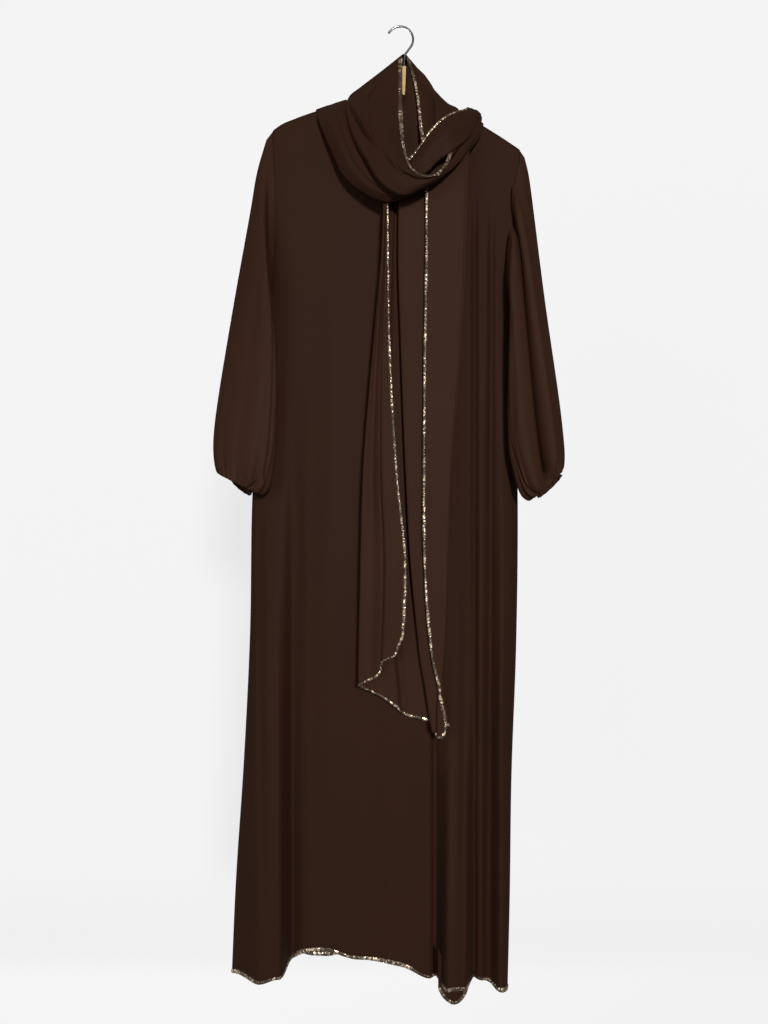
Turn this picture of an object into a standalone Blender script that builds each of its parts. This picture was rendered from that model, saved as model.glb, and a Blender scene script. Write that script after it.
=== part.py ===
"""A long abaya with its attached shayla, hanging on a wooden hanger. Metres, +Z up.

The origin is the inside top of the hanger's hook, the front faces -Y and +X is the viewer's right.
Tables and driving sizes are in millimetres, and each mesh is scaled to metres as it is made.
"""

import math

import bmesh
import bpy
import numpy as np

GARMENT = "abaya"
MM = 0.001
SEAM = 0.3
BODY_WALL = 1.5
SHAYLA_WALL = 1.2

# The body: an A-line tube of a front and a back, sewn at the shoulders and down both sides.
SIDE_SQUARENESS, SHOULDER_SQUARENESS = 3.2, 12.0
SHOULDER_ROUND = 9.0
SHOULDER_SEAM = 0.4
ROW_SPREAD = 1.15
NECK_LEFT, NECK_RIGHT = -66.0, 72.0
NECK_BOW, NECK_DOWN, NECK_END = 6.0, 0.08, 20.0
SHOULDER_DOWN = 0.1
UNDERARM = 0.18
ARMHOLE_HALF = 13.0
ARMHOLE_CORNER = 8.0
FRONT_COLUMNS, BACK_COLUMNS = 38, 22
BODY_ROWS, ROLL_ROWS = 20, 3

# The sleeves: full tubes drawn in by an elastic at the wrist.
GATHERS = 10
COLUMNS_PER_GATHER = 4
SLEEVE_ROWS = 11
GATHER_SHARE = 0.11
SLEEVE_ROUNDNESS = 0.9
CUFF_LENGTH = 11.0
CUFF_SHARE = 0.93

# The hanger: a flat wooden body with a slim neck, and a round wire hook.
HANGER_HALF = 4.5
HANGER_EDGE = 2.0
HANGER_TOP_GAP = 2.0
HANGER_LEFT, HANGER_RIGHT = -190.0, 182.0
HUB_HEIGHT, TIP_HEIGHT = 26.0, 13.0
NECK_MIDDLE, NECK_HALF, NECK_TOP = 7.0, 3.6, -63.0
WIRE = 3.5
HOOK_RADIUS = 20.7
HOOK_CENTRE_X = 1.0


def table(columns, *rows):
    """Named columns of numbers, with one row for each section or fold."""
    return dict(zip(columns.split(), np.array(rows, float).T))


SHOULDER_LINE = table(
    "x z",
    (-202, -161.5),
    (-166, -147),
    (-126, -133),
    (-87, -121),
    (-40, -113),
    (7, -110),
    (50, -116),
    (97, -136),
    (129, -156),
    (161, -176),
    (192, -196.5),
)

# down is the share of the way from the shoulder to the hem; the rest are places in section.
BODY = table(
    "down left right seam front back",
    (0.00, -202, 192, 0, -9, 9),
    (0.06, -199, 184, 3, -12, 15),
    (0.12, -199, 179, 8, -15, 24),
    (0.18, -207, 181, 13, -17, 33),
    (0.30, -226, 188, 17, -18, 41),
    (0.43, -237, 191, 18, -18, 45),
    (0.60, -241, 188, 16, -18, 47),
    (0.75, -250, 180, 10, -16, 47),
    (0.90, -262, 176, 2, -14, 45),
    (1.00, -267, 172, -4, -13, 44),
)

FRONT_HEM = table(
    "x z",
    (-267, -1508),
    (-240, -1517),
    (-212, -1502),
    (-180, -1505),
    (-162, -1494),
    (-130, -1479),
    (-85, -1488),
    (-31, -1491),
    (20, -1504),
    (58, -1530),
    (80, -1516),
    (102, -1532),
    (118, -1514),
    (146, -1531),
    (162, -1536),
    (172, -1528),
)

BACK_HEM = table(
    "x z",
    (-267, -1508),
    (-240, -1515),
    (-120, -1516),
    (50, -1520),
    (172, -1528),
)

# Each fold runs from x at its top to x at the hem, reaches left_half and right_half to its sides,
# grows from start to full, and stands height proud.
FRONT_FOLDS = table(
    "top foot left_half right_half height start full",
    (-202, -200, 64, 34, 54, 0.36, 1.00),
    (-150, -128, 30, 30, -4, 0.55, 0.95),
    (78, 86, 34, 20, 58, 0.66, 1.00),
    (104, 104, 16, 16, -5, 0.40, 0.70),
    (137, 124, 12, 12, 15, 0.20, 0.95),
    (170, 152, 24, 24, 40, 0.14, 1.00),
)
BACK_FOLDS = table(
    "top foot left_half right_half height start full",
    (-150, -178, 44, 40, 12, 0.10, 0.90),
    (-60, -88, 36, 44, 13, 0.16, 1.00),
    (20, 0, 40, 34, 11, 0.08, 0.85),
    (80, 72, 30, 30, 14, 0.20, 1.00),
    (140, 132, 26, 30, 11, 0.12, 0.90),
)

# Where the columns of the front lie, from its left seam at -1 to its right seam at 1.
FRONT_PLACES = table(
    "share place",
    (0.00, -1.000),
    (0.03, -0.995),
    (0.07, -0.975),
    (0.13, -0.900),
    (0.36, -0.440),
    (0.50, 0.240),
    (0.87, 0.900),
    (0.93, 0.975),
    (0.97, 0.995),
    (1.00, 1.000),
)
BACK_PLACES = table(
    "share place",
    (0.00, -1.000),
    (0.04, -0.995),
    (0.08, -0.975),
    (0.14, -0.900),
    (0.86, 0.900),
    (0.92, 0.975),
    (0.96, 0.995),
    (1.00, 1.000),
)

# Each section of a sleeve lies between its outer end and its inner end, and is twice half deep.
LEFT_SLEEVE = table(
    "outer_x outer_y outer_z inner_x inner_y inner_z half puff",
    (-213, 1, -180, -213, 2, -424, 15, 0.0),
    (-228, 0, -234, -202, -26, -446, 18, 0.0),
    (-239, 0, -300, -194, -37, -498, 20, 0.0),
    (-265, 0, -444, -190, -42, -586, 23, 0.1),
    (-288, -5, -589, -193, -44, -671, 25, 0.4),
    (-297, -10, -661, -198, -45, -712, 26, 0.8),
    (-292, -15, -701, -205, -43, -737, 25, 1.0),
    (-280, -20, -718, -216, -38, -748, 22, 1.0),
    (-262, -25, -725, -231, -31, -747, 15, 0.7),
)
RIGHT_SLEEVE = table(
    "outer_x outer_y outer_z inner_x inner_y inner_z half puff",
    (200, 1, -208, 190, 2, -452, 14, 0.0),
    (207, 0, -240, 181, -28, -466, 17, 0.0),
    (215, 0, -300, 169, -38, -508, 19, 0.0),
    (233, 0, -444, 167, -42, -594, 23, 0.1),
    (253, -5, -589, 168, -44, -671, 25, 0.4),
    (260, -10, -661, 176, -45, -707, 26, 0.8),
    (258, -15, -698, 190, -44, -748, 25, 1.0),
    (251, -20, -715, 205, -40, -758, 22, 1.0),
    (236, -25, -724, 214, -31, -751, 15, 0.7),
)

# A stretch of the shayla lies between two edges, a and b, and bows out by crown between them.
WRAP = table(
    "ax ay az bx by bz crown",
    (32, 41, -196, 26, 38, -146, 2),
    (-40, 42, -186, -34, 39, -134, 3),
    (-102, 27, -152, -74, 25, -117, 4),
    (-130, 2, -131, -84, 4, -113, 4),
    (-129, -15, -141, -84, -11, -124, 6),
    (-124, -26, -163, -73, -31, -160, 9),
    (-105, -42, -211, -60, -48, -207, 11),
    (-85, -50, -254, -40, -60, -243, 10),
    (-49, -56, -286, -18, -66, -272, 8),
    (-13, -60, -300, 12, -70, -281, 7),
    (27, -60, -287, 42, -69, -266, 5),
    (69, -56, -262, 80, -60, -240, 4),
    (102, -44, -222, 106, -42, -198, 3),
    (127, -22, -182, 112, -22, -158, 3),
    (131, -12, -164, 110, -11, -142, 1),
    (133, 2, -154.8, 108, 2, -137, 1),
    (124, 26, -178, 100, 28, -144, 4),
    (80, 47, -204, 70, 46, -152, 4),
    (0, 52, -206, 0, 50, -152, 3),
)
LEFT_FALL = table(
    "ax ay az bx by bz crown",
    (3, -5, -55, 0, -0.7, -49, 1),
    (3, -12, -82, -28, -0.7, -73, 4),
    (3, -18, -113, -62, -0.7, -96, 8),
    (3, -29, -144, -79, -4, -112, 8),
    (4, -42, -176, -81, -38, -150, 9),
    (6, -56, -210, -70, -60, -196, 10),
    (12, -70, -242, -50, -74, -240, 9),
    (23, -80, -263, -28, -82, -278, 8),
    (40, -84, -271, 4, -86, -299, 7),
    (55, -84, -267, 36, -82, -288, 5),
    (67, -76, -250, 64, -78, -268, 3),
    (76, -66, -225, 90, -65, -240, 3),
    (89, -52, -199, 110, -50, -206, 3),
    (106, -31, -165, 124, -30, -175, 2),
    (108, -17, -141, 129, -16, -155, 2),
    (110, -1, -134.8, 131, 0, -142, 1),
)
RIGHT_FALL = table(
    "ax ay az bx by bz crown",
    (13, -5, -55, 11, -0.7, -49, 1),
    (23, -12, -82, 33, -0.7, -73, 2),
    (29, -20, -110, 54, -0.7, -101, 4),
    (35, -32, -144, 76, -4, -114, 8),
    (40, -42, -178, 92, -16, -138, 6),
    (45, -50, -211, 97, -32, -162, 4),
    (49, -55, -232, 88, -46, -190, 3),
)
CROSS = table(
    "ax ay az bx by bz crown",
    (110, 2, -125, 130, 2, -139, 2),
    (106, -20, -131, 127, -22, -148, 2),
    (100, -34, -146, 120, -37, -164, 3),
    (78, -58, -168, 106, -58, -198, 4),
    (60, -70, -196, 82, -72, -224, 4),
    (42, -70, -221, 58, -71, -241, 4),
    (27, -66, -236, 38, -72, -260, 3),
    (12, -61, -244, 14, -67, -264, 2),
    (-6, -54, -240, -10, -57, -260, 1),
)
HOOD_BACK = table(
    "ax ay az bx by bz crown",
    (0, 1, -49, 11, 1, -49, 1.7),
    (-28, 1, -73, 33, 1, -73, 12),
    (-62, 1, -96, 54, 1, -101, 20),
    (-79, 4, -111, 75, 4, -116, 22),
    (-84, 16, -130, 88, 16, -142, 14),
    (-80, 22, -160, 84, 22, -172, 8),
)
# The point that each stretch bows away from.
NECK_CENTRE = (7.0, 6.0, -170.0)
FACE_CENTRE = (7.0, -150.0, -120.0)

# The shayla's hanging end: its two long edges fold to the front, and a pleat lies between them.
TAIL = table(
    "z left_edge left_fold pleat right_fold right_edge set_back",
    (-215, -19, -24, 4, 102.6, 40, 10),
    (-290, -19, -25, 2, 100, 39, 2.6),
    (-380, -18, -29, 1, 98, 39, 1),
    (-495, -12, -39, 2, 93, 37, 0),
    (-726, 0, -57, 12, 77, 35, 0),
    (-849, 8, -60, 18, 73, 36, 0),
    (-957, 8, -62, 28, 69, 44, 0),
    (-1041, 2, -63, 38, 65, 54, 0),
    (-1122, -4, -63, 44, 68, 62, 0),
)
# The path of a section, as shares between the named places above, with its depth and its hem.
TAIL_PATH = table(
    "from_place to_place share depth hem",
    (0, 0, 0.0, -50.0, -990),
    (0, 1, 0.5, -52.0, -1020),
    (1, 1, 0.0, -46.5, -1043),
    (1, 1, -4.0, -40.0, -1047),
    (1, 2, 0.5, -35.0, -1066),
    (2, 2, -24.0, -32.5, -1090),
    (2, 2, -30.0, -35.5, -1094),
    (2, 2, -24.0, -38.5, -1095),
    (2, 2, -3.0, -40.5, -1092),
    (2, 2, 0.0, -43.5, -1094),
    (2, 3, 0.5, -45.0, -1104),
    (3, 3, 3.0, -45.5, -1108),
    (3, 3, 0.0, -50.0, -1112),
    (3, 4, 0.6, -55.5, -1117),
    (4, 4, 0.0, -56.0, -1121),
)
TAIL_PLACES = ("left_edge", "left_fold", "pleat", "right_fold", "right_edge")
TAIL_COLUMNS, TAIL_ROWS = 34, 11

PAINTS = {
    "cloth": ((0.032, 0.015, 0.011), 0.75, 0.0),
    "wood": ((0.62, 0.36, 0.14), 0.45, 0.0),
    "chrome": ((0.74, 0.74, 0.76), 0.18, 1.0),
}


def smooth(keys, values, place):
    """A smooth curve through the values at the keys, read at a place."""
    slopes = np.gradient(values, keys)
    low = int(np.clip(np.searchsorted(keys, place) - 1, 0, len(keys) - 2))
    step = keys[low + 1] - keys[low]
    s = min(max((place - keys[low]) / step, 0.0), 1.0)
    start, end = values[low], values[low + 1]
    into, out = slopes[low] * step, slopes[low + 1] * step
    bend = s * s * (3 - 2 * s)
    return start + (end - start) * bend + s * (1 - s) * ((1 - s) * into - s * out)


def along(sections, share):
    """Every column of a table of sections, read at a share of the way from its first row to its last."""
    count = len(next(iter(sections.values())))
    keys = np.linspace(0, 1, count)
    return {name: smooth(keys, values, share) for name, values in sections.items()}


def at(sections, key, place, *columns):
    """The named columns, read where the key column has the given value."""
    order = slice(None) if sections[key][0] < sections[key][-1] else slice(None, None, -1)
    keys = sections[key][order]
    return [smooth(keys, sections[column][order], place) for column in columns]


def ease(share):
    """From 0 to 1 with a soft start and a soft end."""
    share = min(max(share, 0.0), 1.0)
    return share * share * (3 - 2 * share)


def paint(name):
    """The named material, made once."""
    found = bpy.data.materials.get(name)
    if found:
        return found
    colour, roughness, metallic = PAINTS[name]
    made = bpy.data.materials.new(name)
    made.use_nodes = True
    shader = made.node_tree.nodes["Principled BSDF"]
    shader.inputs["Base Color"].default_value = (*colour, 1)
    shader.inputs["Roughness"].default_value = roughness
    shader.inputs["Metallic"].default_value = metallic
    return made


def add(name, data, material):
    """A named object in the garment's collection, with its own copy of a material."""
    obj = bpy.data.objects.new(name, data)
    bpy.data.collections[GARMENT].objects.link(obj)
    own = paint(material).copy()
    own.name = f"{name}_{material}"
    data.materials.append(own)
    return obj


def cloth(name, form, columns, rows, wall, material, tube=False):
    """A sheet shaped by form(u, v), with u across and v down, given its thickness."""
    sheet = bmesh.new()
    bmesh.ops.create_grid(sheet, x_segments=columns, y_segments=rows, size=0.5)
    for vert in sheet.verts:
        vert.co = np.array(form(vert.co.x + 0.5, 0.5 - vert.co.y)) * MM
    if tube:
        bmesh.ops.remove_doubles(sheet, verts=sheet.verts, dist=0.01 * MM)
    mesh = bpy.data.meshes.new(name)
    sheet.to_mesh(mesh)
    sheet.free()
    mesh.shade_smooth()
    obj = add(name, mesh, material)
    thicken = obj.modifiers.new("Cloth", "SOLIDIFY")
    thicken.thickness = wall * MM
    thicken.offset = 0
    return obj


def fold_height(folds, x, down):
    """How far the folds stand out of a panel at a place on it."""
    total = 0.0
    for top, foot, left_half, right_half, height, start, full in zip(*folds.values()):
        away = x - top - (foot - top) * down
        half = left_half if away < 0 else right_half
        if abs(away) < half:
            grown = ease((down - start) / (full - start))
            total += height * grown * math.cos(0.5 * math.pi * away / half) ** 2
    return total


def seam_gap(down):
    """Half the gap between the front and the back: a hair at the side seams, wide at the armholes."""
    gap = ARMHOLE_HALF * math.sin(math.pi * min(down / UNDERARM, 1.0))
    return SEAM * 0.6 + max(gap, 0.0)


def panel_height(x_share, down, hem):
    """Height on a panel, from the shoulder line to the hem."""
    top_x = SHOULDER_LINE["x"][0] + (SHOULDER_LINE["x"][-1] - SHOULDER_LINE["x"][0]) * x_share
    hem_x = hem["x"][0] + (hem["x"][-1] - hem["x"][0]) * x_share
    (top,) = at(SHOULDER_LINE, "x", top_x, "z")
    (foot,) = at(hem, "x", hem_x, "z")
    return top + (foot - top) * down


def body_point(places, face, folds, hem, u, v):
    """A point of the front, where face is -1, or of the back, where it is 1."""
    across = np.interp(u, places["share"], places["place"])
    x_share = 0.5 + 0.5 * across
    length = panel_height(x_share, 0, hem) - panel_height(x_share, 1, hem)
    roll = ROLL_ROWS / BODY_ROWS
    turn = math.pi / 2 * min(v / roll, 1)
    fallen = SHOULDER_ROUND * (1 - math.cos(turn))
    if v > roll:
        fallen += (length - SHOULDER_ROUND) * ((v - roll) / (1 - roll)) ** ROW_SPREAD
    down = fallen / length
    left, right, seam, front, back = at(BODY, "down", down, "left", "right", "seam", "front", "back")
    x = left + (right - left) * x_share
    depth = front if face < 0 else back
    in_neck = ease((x - NECK_LEFT) / NECK_END) * ease((NECK_RIGHT - x) / NECK_END)
    depth += face * NECK_BOW * in_neck * (1 - ease(down / NECK_DOWN))
    below = ease(down / SHOULDER_DOWN)
    squareness = SHOULDER_SQUARENESS + (SIDE_SQUARENESS - SHOULDER_SQUARENESS) * below
    bulge = (1 - abs(across) ** squareness) ** (1 / squareness)
    edge = seam + face * seam_gap(down)
    y = edge + (depth - edge + face * fold_height(folds, x, down)) * bulge
    rolled = face * SHOULDER_SEAM + (y - face * SHOULDER_SEAM) * math.sin(turn)
    return x, rolled + (y - rolled) * in_neck, panel_height(x_share, down, hem)


def sleeve_point(side, sections, u, v):
    """A point of a sleeve: u runs from the top down the front and up the back, v from armhole to wrist."""
    turn = 2 * math.pi * u
    first = 1 / (SLEEVE_ROWS + 1)
    if v < first / 2:
        down = UNDERARM * (1 - math.cos(turn)) / 2
        x, seam = at(BODY, "down", down, side, "seam")
        outward = -1 if side == "left" else 1
        to_front = math.copysign(min(1, abs(math.sin(turn)) * ARMHOLE_CORNER), math.sin(turn))
        return (
            x + outward * (BODY_WALL / 2 + 3.5 * SEAM),
            seam - seam_gap(down) * to_front,
            panel_height(0.5 + 0.5 * outward, down, FRONT_HEM),
        )
    row = along(sections, (v - first) / (1 - first))
    outer = np.array((row["outer_x"], row["outer_y"], row["outer_z"]))
    inner = np.array((row["inner_x"], row["inner_y"], row["inner_z"]))
    wave = 1 + row["puff"] * GATHER_SHARE * math.cos(GATHERS * turn)
    along_axis = math.copysign(abs(math.cos(turn)) ** SLEEVE_ROUNDNESS, math.cos(turn))
    point = (outer + inner) / 2 + (outer - inner) / 2 * along_axis * wave
    point[1] -= row["half"] * math.sin(turn) * wave
    return point


def cuff_point(sections, u, v):
    """A point of the elastic casing that follows the sleeve's last section."""
    turn = 2 * math.pi * u
    row = along(sections, 1.0)
    outer = np.array((row["outer_x"], row["outer_y"], row["outer_z"]))
    inner = np.array((row["inner_x"], row["inner_y"], row["inner_z"]))
    way = np.cross(inner - outer, (0, 1, 0))
    way = way / np.linalg.norm(way) * math.copysign(1, -way[2])
    wave = CUFF_SHARE * (1 + row["puff"] * GATHER_SHARE * math.cos(GATHERS * turn))
    point = (outer + inner) / 2 + (outer - inner) / 2 * math.cos(turn) * wave
    point[1] -= row["half"] * math.sin(turn) * wave
    return point + way * (BODY_WALL / 2 + 2 * SEAM + CUFF_LENGTH * v)


def stretch_point(sections, centre, u, v):
    """A point of one stretch of the shayla, bowed away from a centre between its two edges."""
    step = 0.01
    low, high = along(sections, max(v - step, 0)), along(sections, min(v + step, 1))
    row = along(sections, v)

    def between(place):
        edge_a = np.array((place["ax"], place["ay"], place["az"]))
        edge_b = np.array((place["bx"], place["by"], place["bz"]))
        return edge_a, edge_b, edge_a + (edge_b - edge_a) * u

    edge_a, edge_b, point = between(row)
    out = np.cross(edge_b - edge_a, between(high)[2] - between(low)[2])
    out /= np.linalg.norm(out)
    out *= math.copysign(1, out @ (point - centre))
    return point + out * row["crown"] * math.sin(math.pi * u)


def tail_point(u, v):
    """A point of the shayla's hanging end, with u along its folded section and v down."""
    count = len(TAIL_PATH["share"])
    keys = np.linspace(0, 1, count)
    hem = smooth(keys, TAIL_PATH["hem"], u)
    top = TAIL["z"][0]
    z = top + (hem - top) * v
    *places, set_back = at(TAIL, "z", z, *TAIL_PLACES, "set_back")
    path_x = []
    for start, end, share in zip(TAIL_PATH["from_place"], TAIL_PATH["to_place"], TAIL_PATH["share"]):
        if start == end:
            path_x.append(places[int(start)] - share)
        else:
            path_x.append(places[int(start)] + (places[int(end)] - places[int(start)]) * share)
    return smooth(keys, np.array(path_x), u), smooth(keys, TAIL_PATH["depth"], u) + set_back, z


def add_body():
    """The front and the back, with their folds, open at the neck, armholes and hem."""

    def front(u, v):
        return body_point(FRONT_PLACES, -1, FRONT_FOLDS, FRONT_HEM, u, v)

    def back(u, v):
        return body_point(BACK_PLACES, 1, BACK_FOLDS, BACK_HEM, u, v)

    cloth("body_front", front, FRONT_COLUMNS, BODY_ROWS, BODY_WALL, "cloth")
    cloth("body_back", back, BACK_COLUMNS, BODY_ROWS, BODY_WALL, "cloth")


def add_sleeves():
    """Both sleeves, each a tube from its armhole to its gathers, and the elastic casing at each wrist."""
    columns = GATHERS * COLUMNS_PER_GATHER
    for side, sections in (("left", LEFT_SLEEVE), ("right", RIGHT_SLEEVE)):

        def sleeve(u, v, side=side, sections=sections):
            return sleeve_point(side, sections, u, v)

        def cuff(u, v, sections=sections):
            return cuff_point(sections, u, v)

        cloth(f"sleeve_{side}", sleeve, columns, SLEEVE_ROWS + 1, BODY_WALL, "cloth", tube=True)
        cloth(f"cuff_{side}", cuff, columns, 1, BODY_WALL, "cloth", tube=True)


def add_shayla():
    """Each stretch of the wound shayla that shows, and its folded hanging end."""
    stretches = (
        ("shayla_wrap", WRAP, NECK_CENTRE, 6, 32),
        ("shayla_left_fall", LEFT_FALL, NECK_CENTRE, 7, 30),
        ("shayla_right_fall", RIGHT_FALL, NECK_CENTRE, 6, 12),
        ("shayla_cross", CROSS, NECK_CENTRE, 5, 14),
        ("shayla_hood_back", HOOD_BACK, FACE_CENTRE, 10, 8),
    )
    for name, sections, centre, columns, rows in stretches:

        def stretch(u, v, sections=sections, centre=centre):
            return stretch_point(sections, centre, u, v)

        cloth(name, stretch, columns, rows, SHAYLA_WALL, "cloth")
    cloth("shayla_tail", tail_point, TAIL_COLUMNS, TAIL_ROWS, SHAYLA_WALL, "cloth")


def spline(curve, points, cyclic=False):
    """A line of straight steps through the points, added to a curve."""
    line = curve.splines.new("POLY")
    line.points.add(len(points) - 1)
    for place, point in zip(line.points, points):
        place.co = (*(np.array(point) * MM), 1)
    line.use_cyclic_u = cyclic


def arm_top(x):
    """The height of the hanger's arms, just under the shoulders."""
    (z,) = at(SHOULDER_LINE, "x", x, "z")
    return z - HANGER_TOP_GAP


def add_hanger_body():
    """The wooden body: arms under both shoulders and a slim neck, one flat outline with rounded edges."""
    steps = 14
    left_x = np.linspace(HANGER_LEFT, NECK_MIDDLE - NECK_HALF, steps)
    right_x = np.linspace(NECK_MIDDLE + NECK_HALF, HANGER_RIGHT, steps)
    top = [(x, arm_top(x), 0) for x in left_x]
    top += [(NECK_MIDDLE - NECK_HALF, NECK_TOP, 0), (NECK_MIDDLE + NECK_HALF, NECK_TOP, 0)]
    top += [(x, arm_top(x), 0) for x in right_x]
    under = []
    for x in np.linspace(HANGER_RIGHT, HANGER_LEFT, 2 * steps):
        reach = HANGER_RIGHT if x > NECK_MIDDLE else HANGER_LEFT
        thinned = ease((x - NECK_MIDDLE) / (reach - NECK_MIDDLE))
        under.append((x, arm_top(x) - HUB_HEIGHT + (HUB_HEIGHT - TIP_HEIGHT) * thinned, 0))
    outline = bpy.data.curves.new("hanger_body", "CURVE")
    outline.dimensions = "2D"
    outline.fill_mode = "BOTH"
    outline.extrude = (HANGER_HALF - HANGER_EDGE) * MM
    outline.bevel_depth = HANGER_EDGE * MM
    outline.bevel_resolution = 1
    outline.offset = -HANGER_EDGE * MM
    spline(outline, top + under, cyclic=True)
    obj = add("hanger_body", outline, "wood")
    obj.rotation_euler = (math.pi / 2, 0, 0)


def add_hanger_hook():
    """The wire hook: an arc over the rail, a short reverse bend and a straight stem into the wood."""
    wire = bpy.data.curves.new("hanger_hook", "CURVE")
    wire.dimensions = "3D"
    wire.bevel_depth = WIRE / 2 * MM
    wire.bevel_resolution = 2
    wire.use_fill_caps = True
    centre_z = WIRE / 2 - HOOK_RADIUS
    points = []
    for turn in np.radians(np.linspace(152, -52, 20)):
        x = HOOK_CENTRE_X + HOOK_RADIUS * math.cos(turn)
        points.append((x, 0, centre_z + HOOK_RADIUS * math.sin(turn)))
    points += [(10.2, 0, -39.5), (8.2, 0, -43.5), (7.2, 0, -48.5), (NECK_MIDDLE, 0, -55)]
    points += [(NECK_MIDDLE, 0, NECK_TOP + SEAM)]
    spline(wire, points)
    add("hanger_hook", wire, "chrome")


def main():
    for old in list(bpy.data.objects):
        bpy.data.objects.remove(old, do_unlink=True)
    garment = bpy.data.collections.new(GARMENT)
    bpy.context.scene.collection.children.link(garment)
    add_body()
    add_sleeves()
    add_shayla()
    add_hanger_body()
    add_hanger_hook()


main()
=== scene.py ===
"""The looks of a long abaya with its attached shayla on a hanger: cloth, edging, hanger and stage.

Metres, +Z up. The origin is the inside top of the hanger's hook and the front faces -Y.
Cutting tables are in millimetres, and each piece is scaled to metres as it is made.
"""

import math
from functools import partial

import bmesh
import bpy
import numpy as np
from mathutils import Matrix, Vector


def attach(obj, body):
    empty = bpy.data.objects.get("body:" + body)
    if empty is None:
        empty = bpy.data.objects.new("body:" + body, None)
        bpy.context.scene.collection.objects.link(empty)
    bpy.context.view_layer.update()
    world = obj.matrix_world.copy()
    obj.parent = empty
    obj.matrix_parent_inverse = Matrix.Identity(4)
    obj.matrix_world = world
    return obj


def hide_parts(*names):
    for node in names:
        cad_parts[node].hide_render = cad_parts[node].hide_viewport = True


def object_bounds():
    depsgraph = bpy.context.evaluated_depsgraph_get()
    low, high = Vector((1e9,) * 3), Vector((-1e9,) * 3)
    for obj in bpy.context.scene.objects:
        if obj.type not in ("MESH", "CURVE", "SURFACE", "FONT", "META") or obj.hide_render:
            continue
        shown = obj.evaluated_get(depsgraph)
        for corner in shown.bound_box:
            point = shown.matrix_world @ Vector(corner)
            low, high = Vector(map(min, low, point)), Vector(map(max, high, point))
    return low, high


bl_info = {
    "name": "Abaya and Shayla",
    "version": (1, 0, 0),
    "blender": (4, 5, 0),
    "location": "3D View > Sidebar > Abaya",
    "description": "Cloth, edging, hanger and stage of a long abaya with its shayla",
    "category": "Object",
}

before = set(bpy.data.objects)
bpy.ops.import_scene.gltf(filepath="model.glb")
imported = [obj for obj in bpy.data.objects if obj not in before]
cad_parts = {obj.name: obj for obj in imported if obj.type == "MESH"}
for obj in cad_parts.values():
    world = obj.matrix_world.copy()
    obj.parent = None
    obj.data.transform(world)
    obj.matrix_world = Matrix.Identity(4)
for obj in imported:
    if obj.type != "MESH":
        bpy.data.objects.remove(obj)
CAD_BOX = [list(corner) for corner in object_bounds()]

MM = 0.001
SEAM = 0.3
SEWN = 0.2
BODY_WALL = 1.5

# The body: an A-line tube of a front and a back, sewn at the shoulders and down both sides.
SIDE_SQUARENESS, SHOULDER_SQUARENESS = 3.2, 12.0
SHOULDER_ROUND = 9.0
SHOULDER_SEAM = 0.4
ROW_SPREAD = 1.15
# The shoulder's roll takes the first share of a panel's rows and the second share of its form.
ROLL_ROWS, ROLL = 0.05, 0.15
NECK_LEFT, NECK_RIGHT = -66.0, 72.0
NECK_BOW, NECK_DOWN, NECK_END = 6.0, 0.08, 20.0
SHOULDER_DOWN = 0.1
UNDERARM = 0.18
ARMHOLE_HALF = 13.0
ARMHOLE_CORNER = 8.0

# The sleeves: full tubes drawn in by an elastic at the wrist, in a narrow casing.
ARMHOLE_SHARE = 1 / 12
GATHERS = 10
GATHER_SHARE = 0.09
SLEEVE_ROUNDNESS = 0.9
SLEEVE_INSET = 4.5
UNDERARM_DROP = 5.0
CUFF_LENGTH = 11.0
CUFF_SHARE = 0.93
CUFF_TILT = 0.34
CUFF_PINCH, CUFF_PINCH_END = 0.05, 0.8

# The edging: points round it, the distance between its rings, and the share of its half width by
# which it lies inward. Samples along it measure its length, and a line a little way in from the
# edge, as a share of the cloth, shows which way is inward.
EDGING_ROUND, EDGING_STEP = 10, 1.1
EDGING_INWARD = 0.7
EDGING_SAMPLES, EDGING_REACH = 400, 0.01

# The hook: a round wire on an arc, given as its first and last degree and its number of points,
# and then a short stem down to the hanger's neck.
WIRE = 3.5
HOOK_RADIUS = 20.7
HOOK_CENTRE_X = 1.0
HOOK_ARC = (152, -35, 60)
HOOK_STEM = ((8.9, -43), (8.2, -48), (7.4, -55))
NECK_MIDDLE, NECK_TOP = 7.0, -63.0

# The camera is 1.3 m away, at the photo's angle, and sees this much above and below its middle.
CAMERA = (-0.0248, -1.3, -0.775)
HALF_VIEW = 0.8192
SENSOR = 36.0
# The lights are aimed at the middle of the garment.
LIT_POINT = (0.0, 0.0, -0.75)

PLACE_COLUMNS = "share place"
FOLD_COLUMNS = "top foot left_half right_half core height start full lean"
PANEL_CREASE_COLUMNS = "top foot left_half right_half height start full fade end"
SLEEVE_COLUMNS = "outer_x outer_y outer_z inner_x inner_y inner_z half lean puff"
SLEEVE_CREASE_COLUMNS = "start end start_u end_u half depth"
STRETCH_COLUMNS = "ax ay az bx by bz crown"
SOFT_CREASE_COLUMNS = "start end start_u middle_u end_u half depth"


def table(columns, *rows):
    """Named columns of numbers, with one row for each section or fold."""
    return dict(zip(columns.split(), np.array(rows, float).T))


SHOULDER_LINE = table(
    "x z",
    (-202, -166), (-190, -157.5), (-166, -147), (-126, -133), (-87, -121), (-40, -113), (7, -110),
    (50, -116), (97, -136), (129, -156), (161, -176), (192, -196.5),
)

# down is the share of the way from the shoulder to the hem; the rest are places in section.
BODY = table(
    "down left right seam front back",
    (0, -202, 192, 0, -9, 9),
    (0.06, -199, 184, 3, -12, 15),
    (0.12, -199, 179, 8, -15, 24),
    (0.18, -207, 181, 13, -17, 33),
    (0.3, -226, 188, 17, -18, 41),
    (0.43, -237, 191, 18, -18, 45),
    (0.6, -241, 188, 16, -18, 47),
    (0.75, -250, 180, 10, -16, 47),
    (0.9, -262, 176, 2, -14, 45),
    (1, -267, 172, -4, -13, 44),
)

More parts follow.
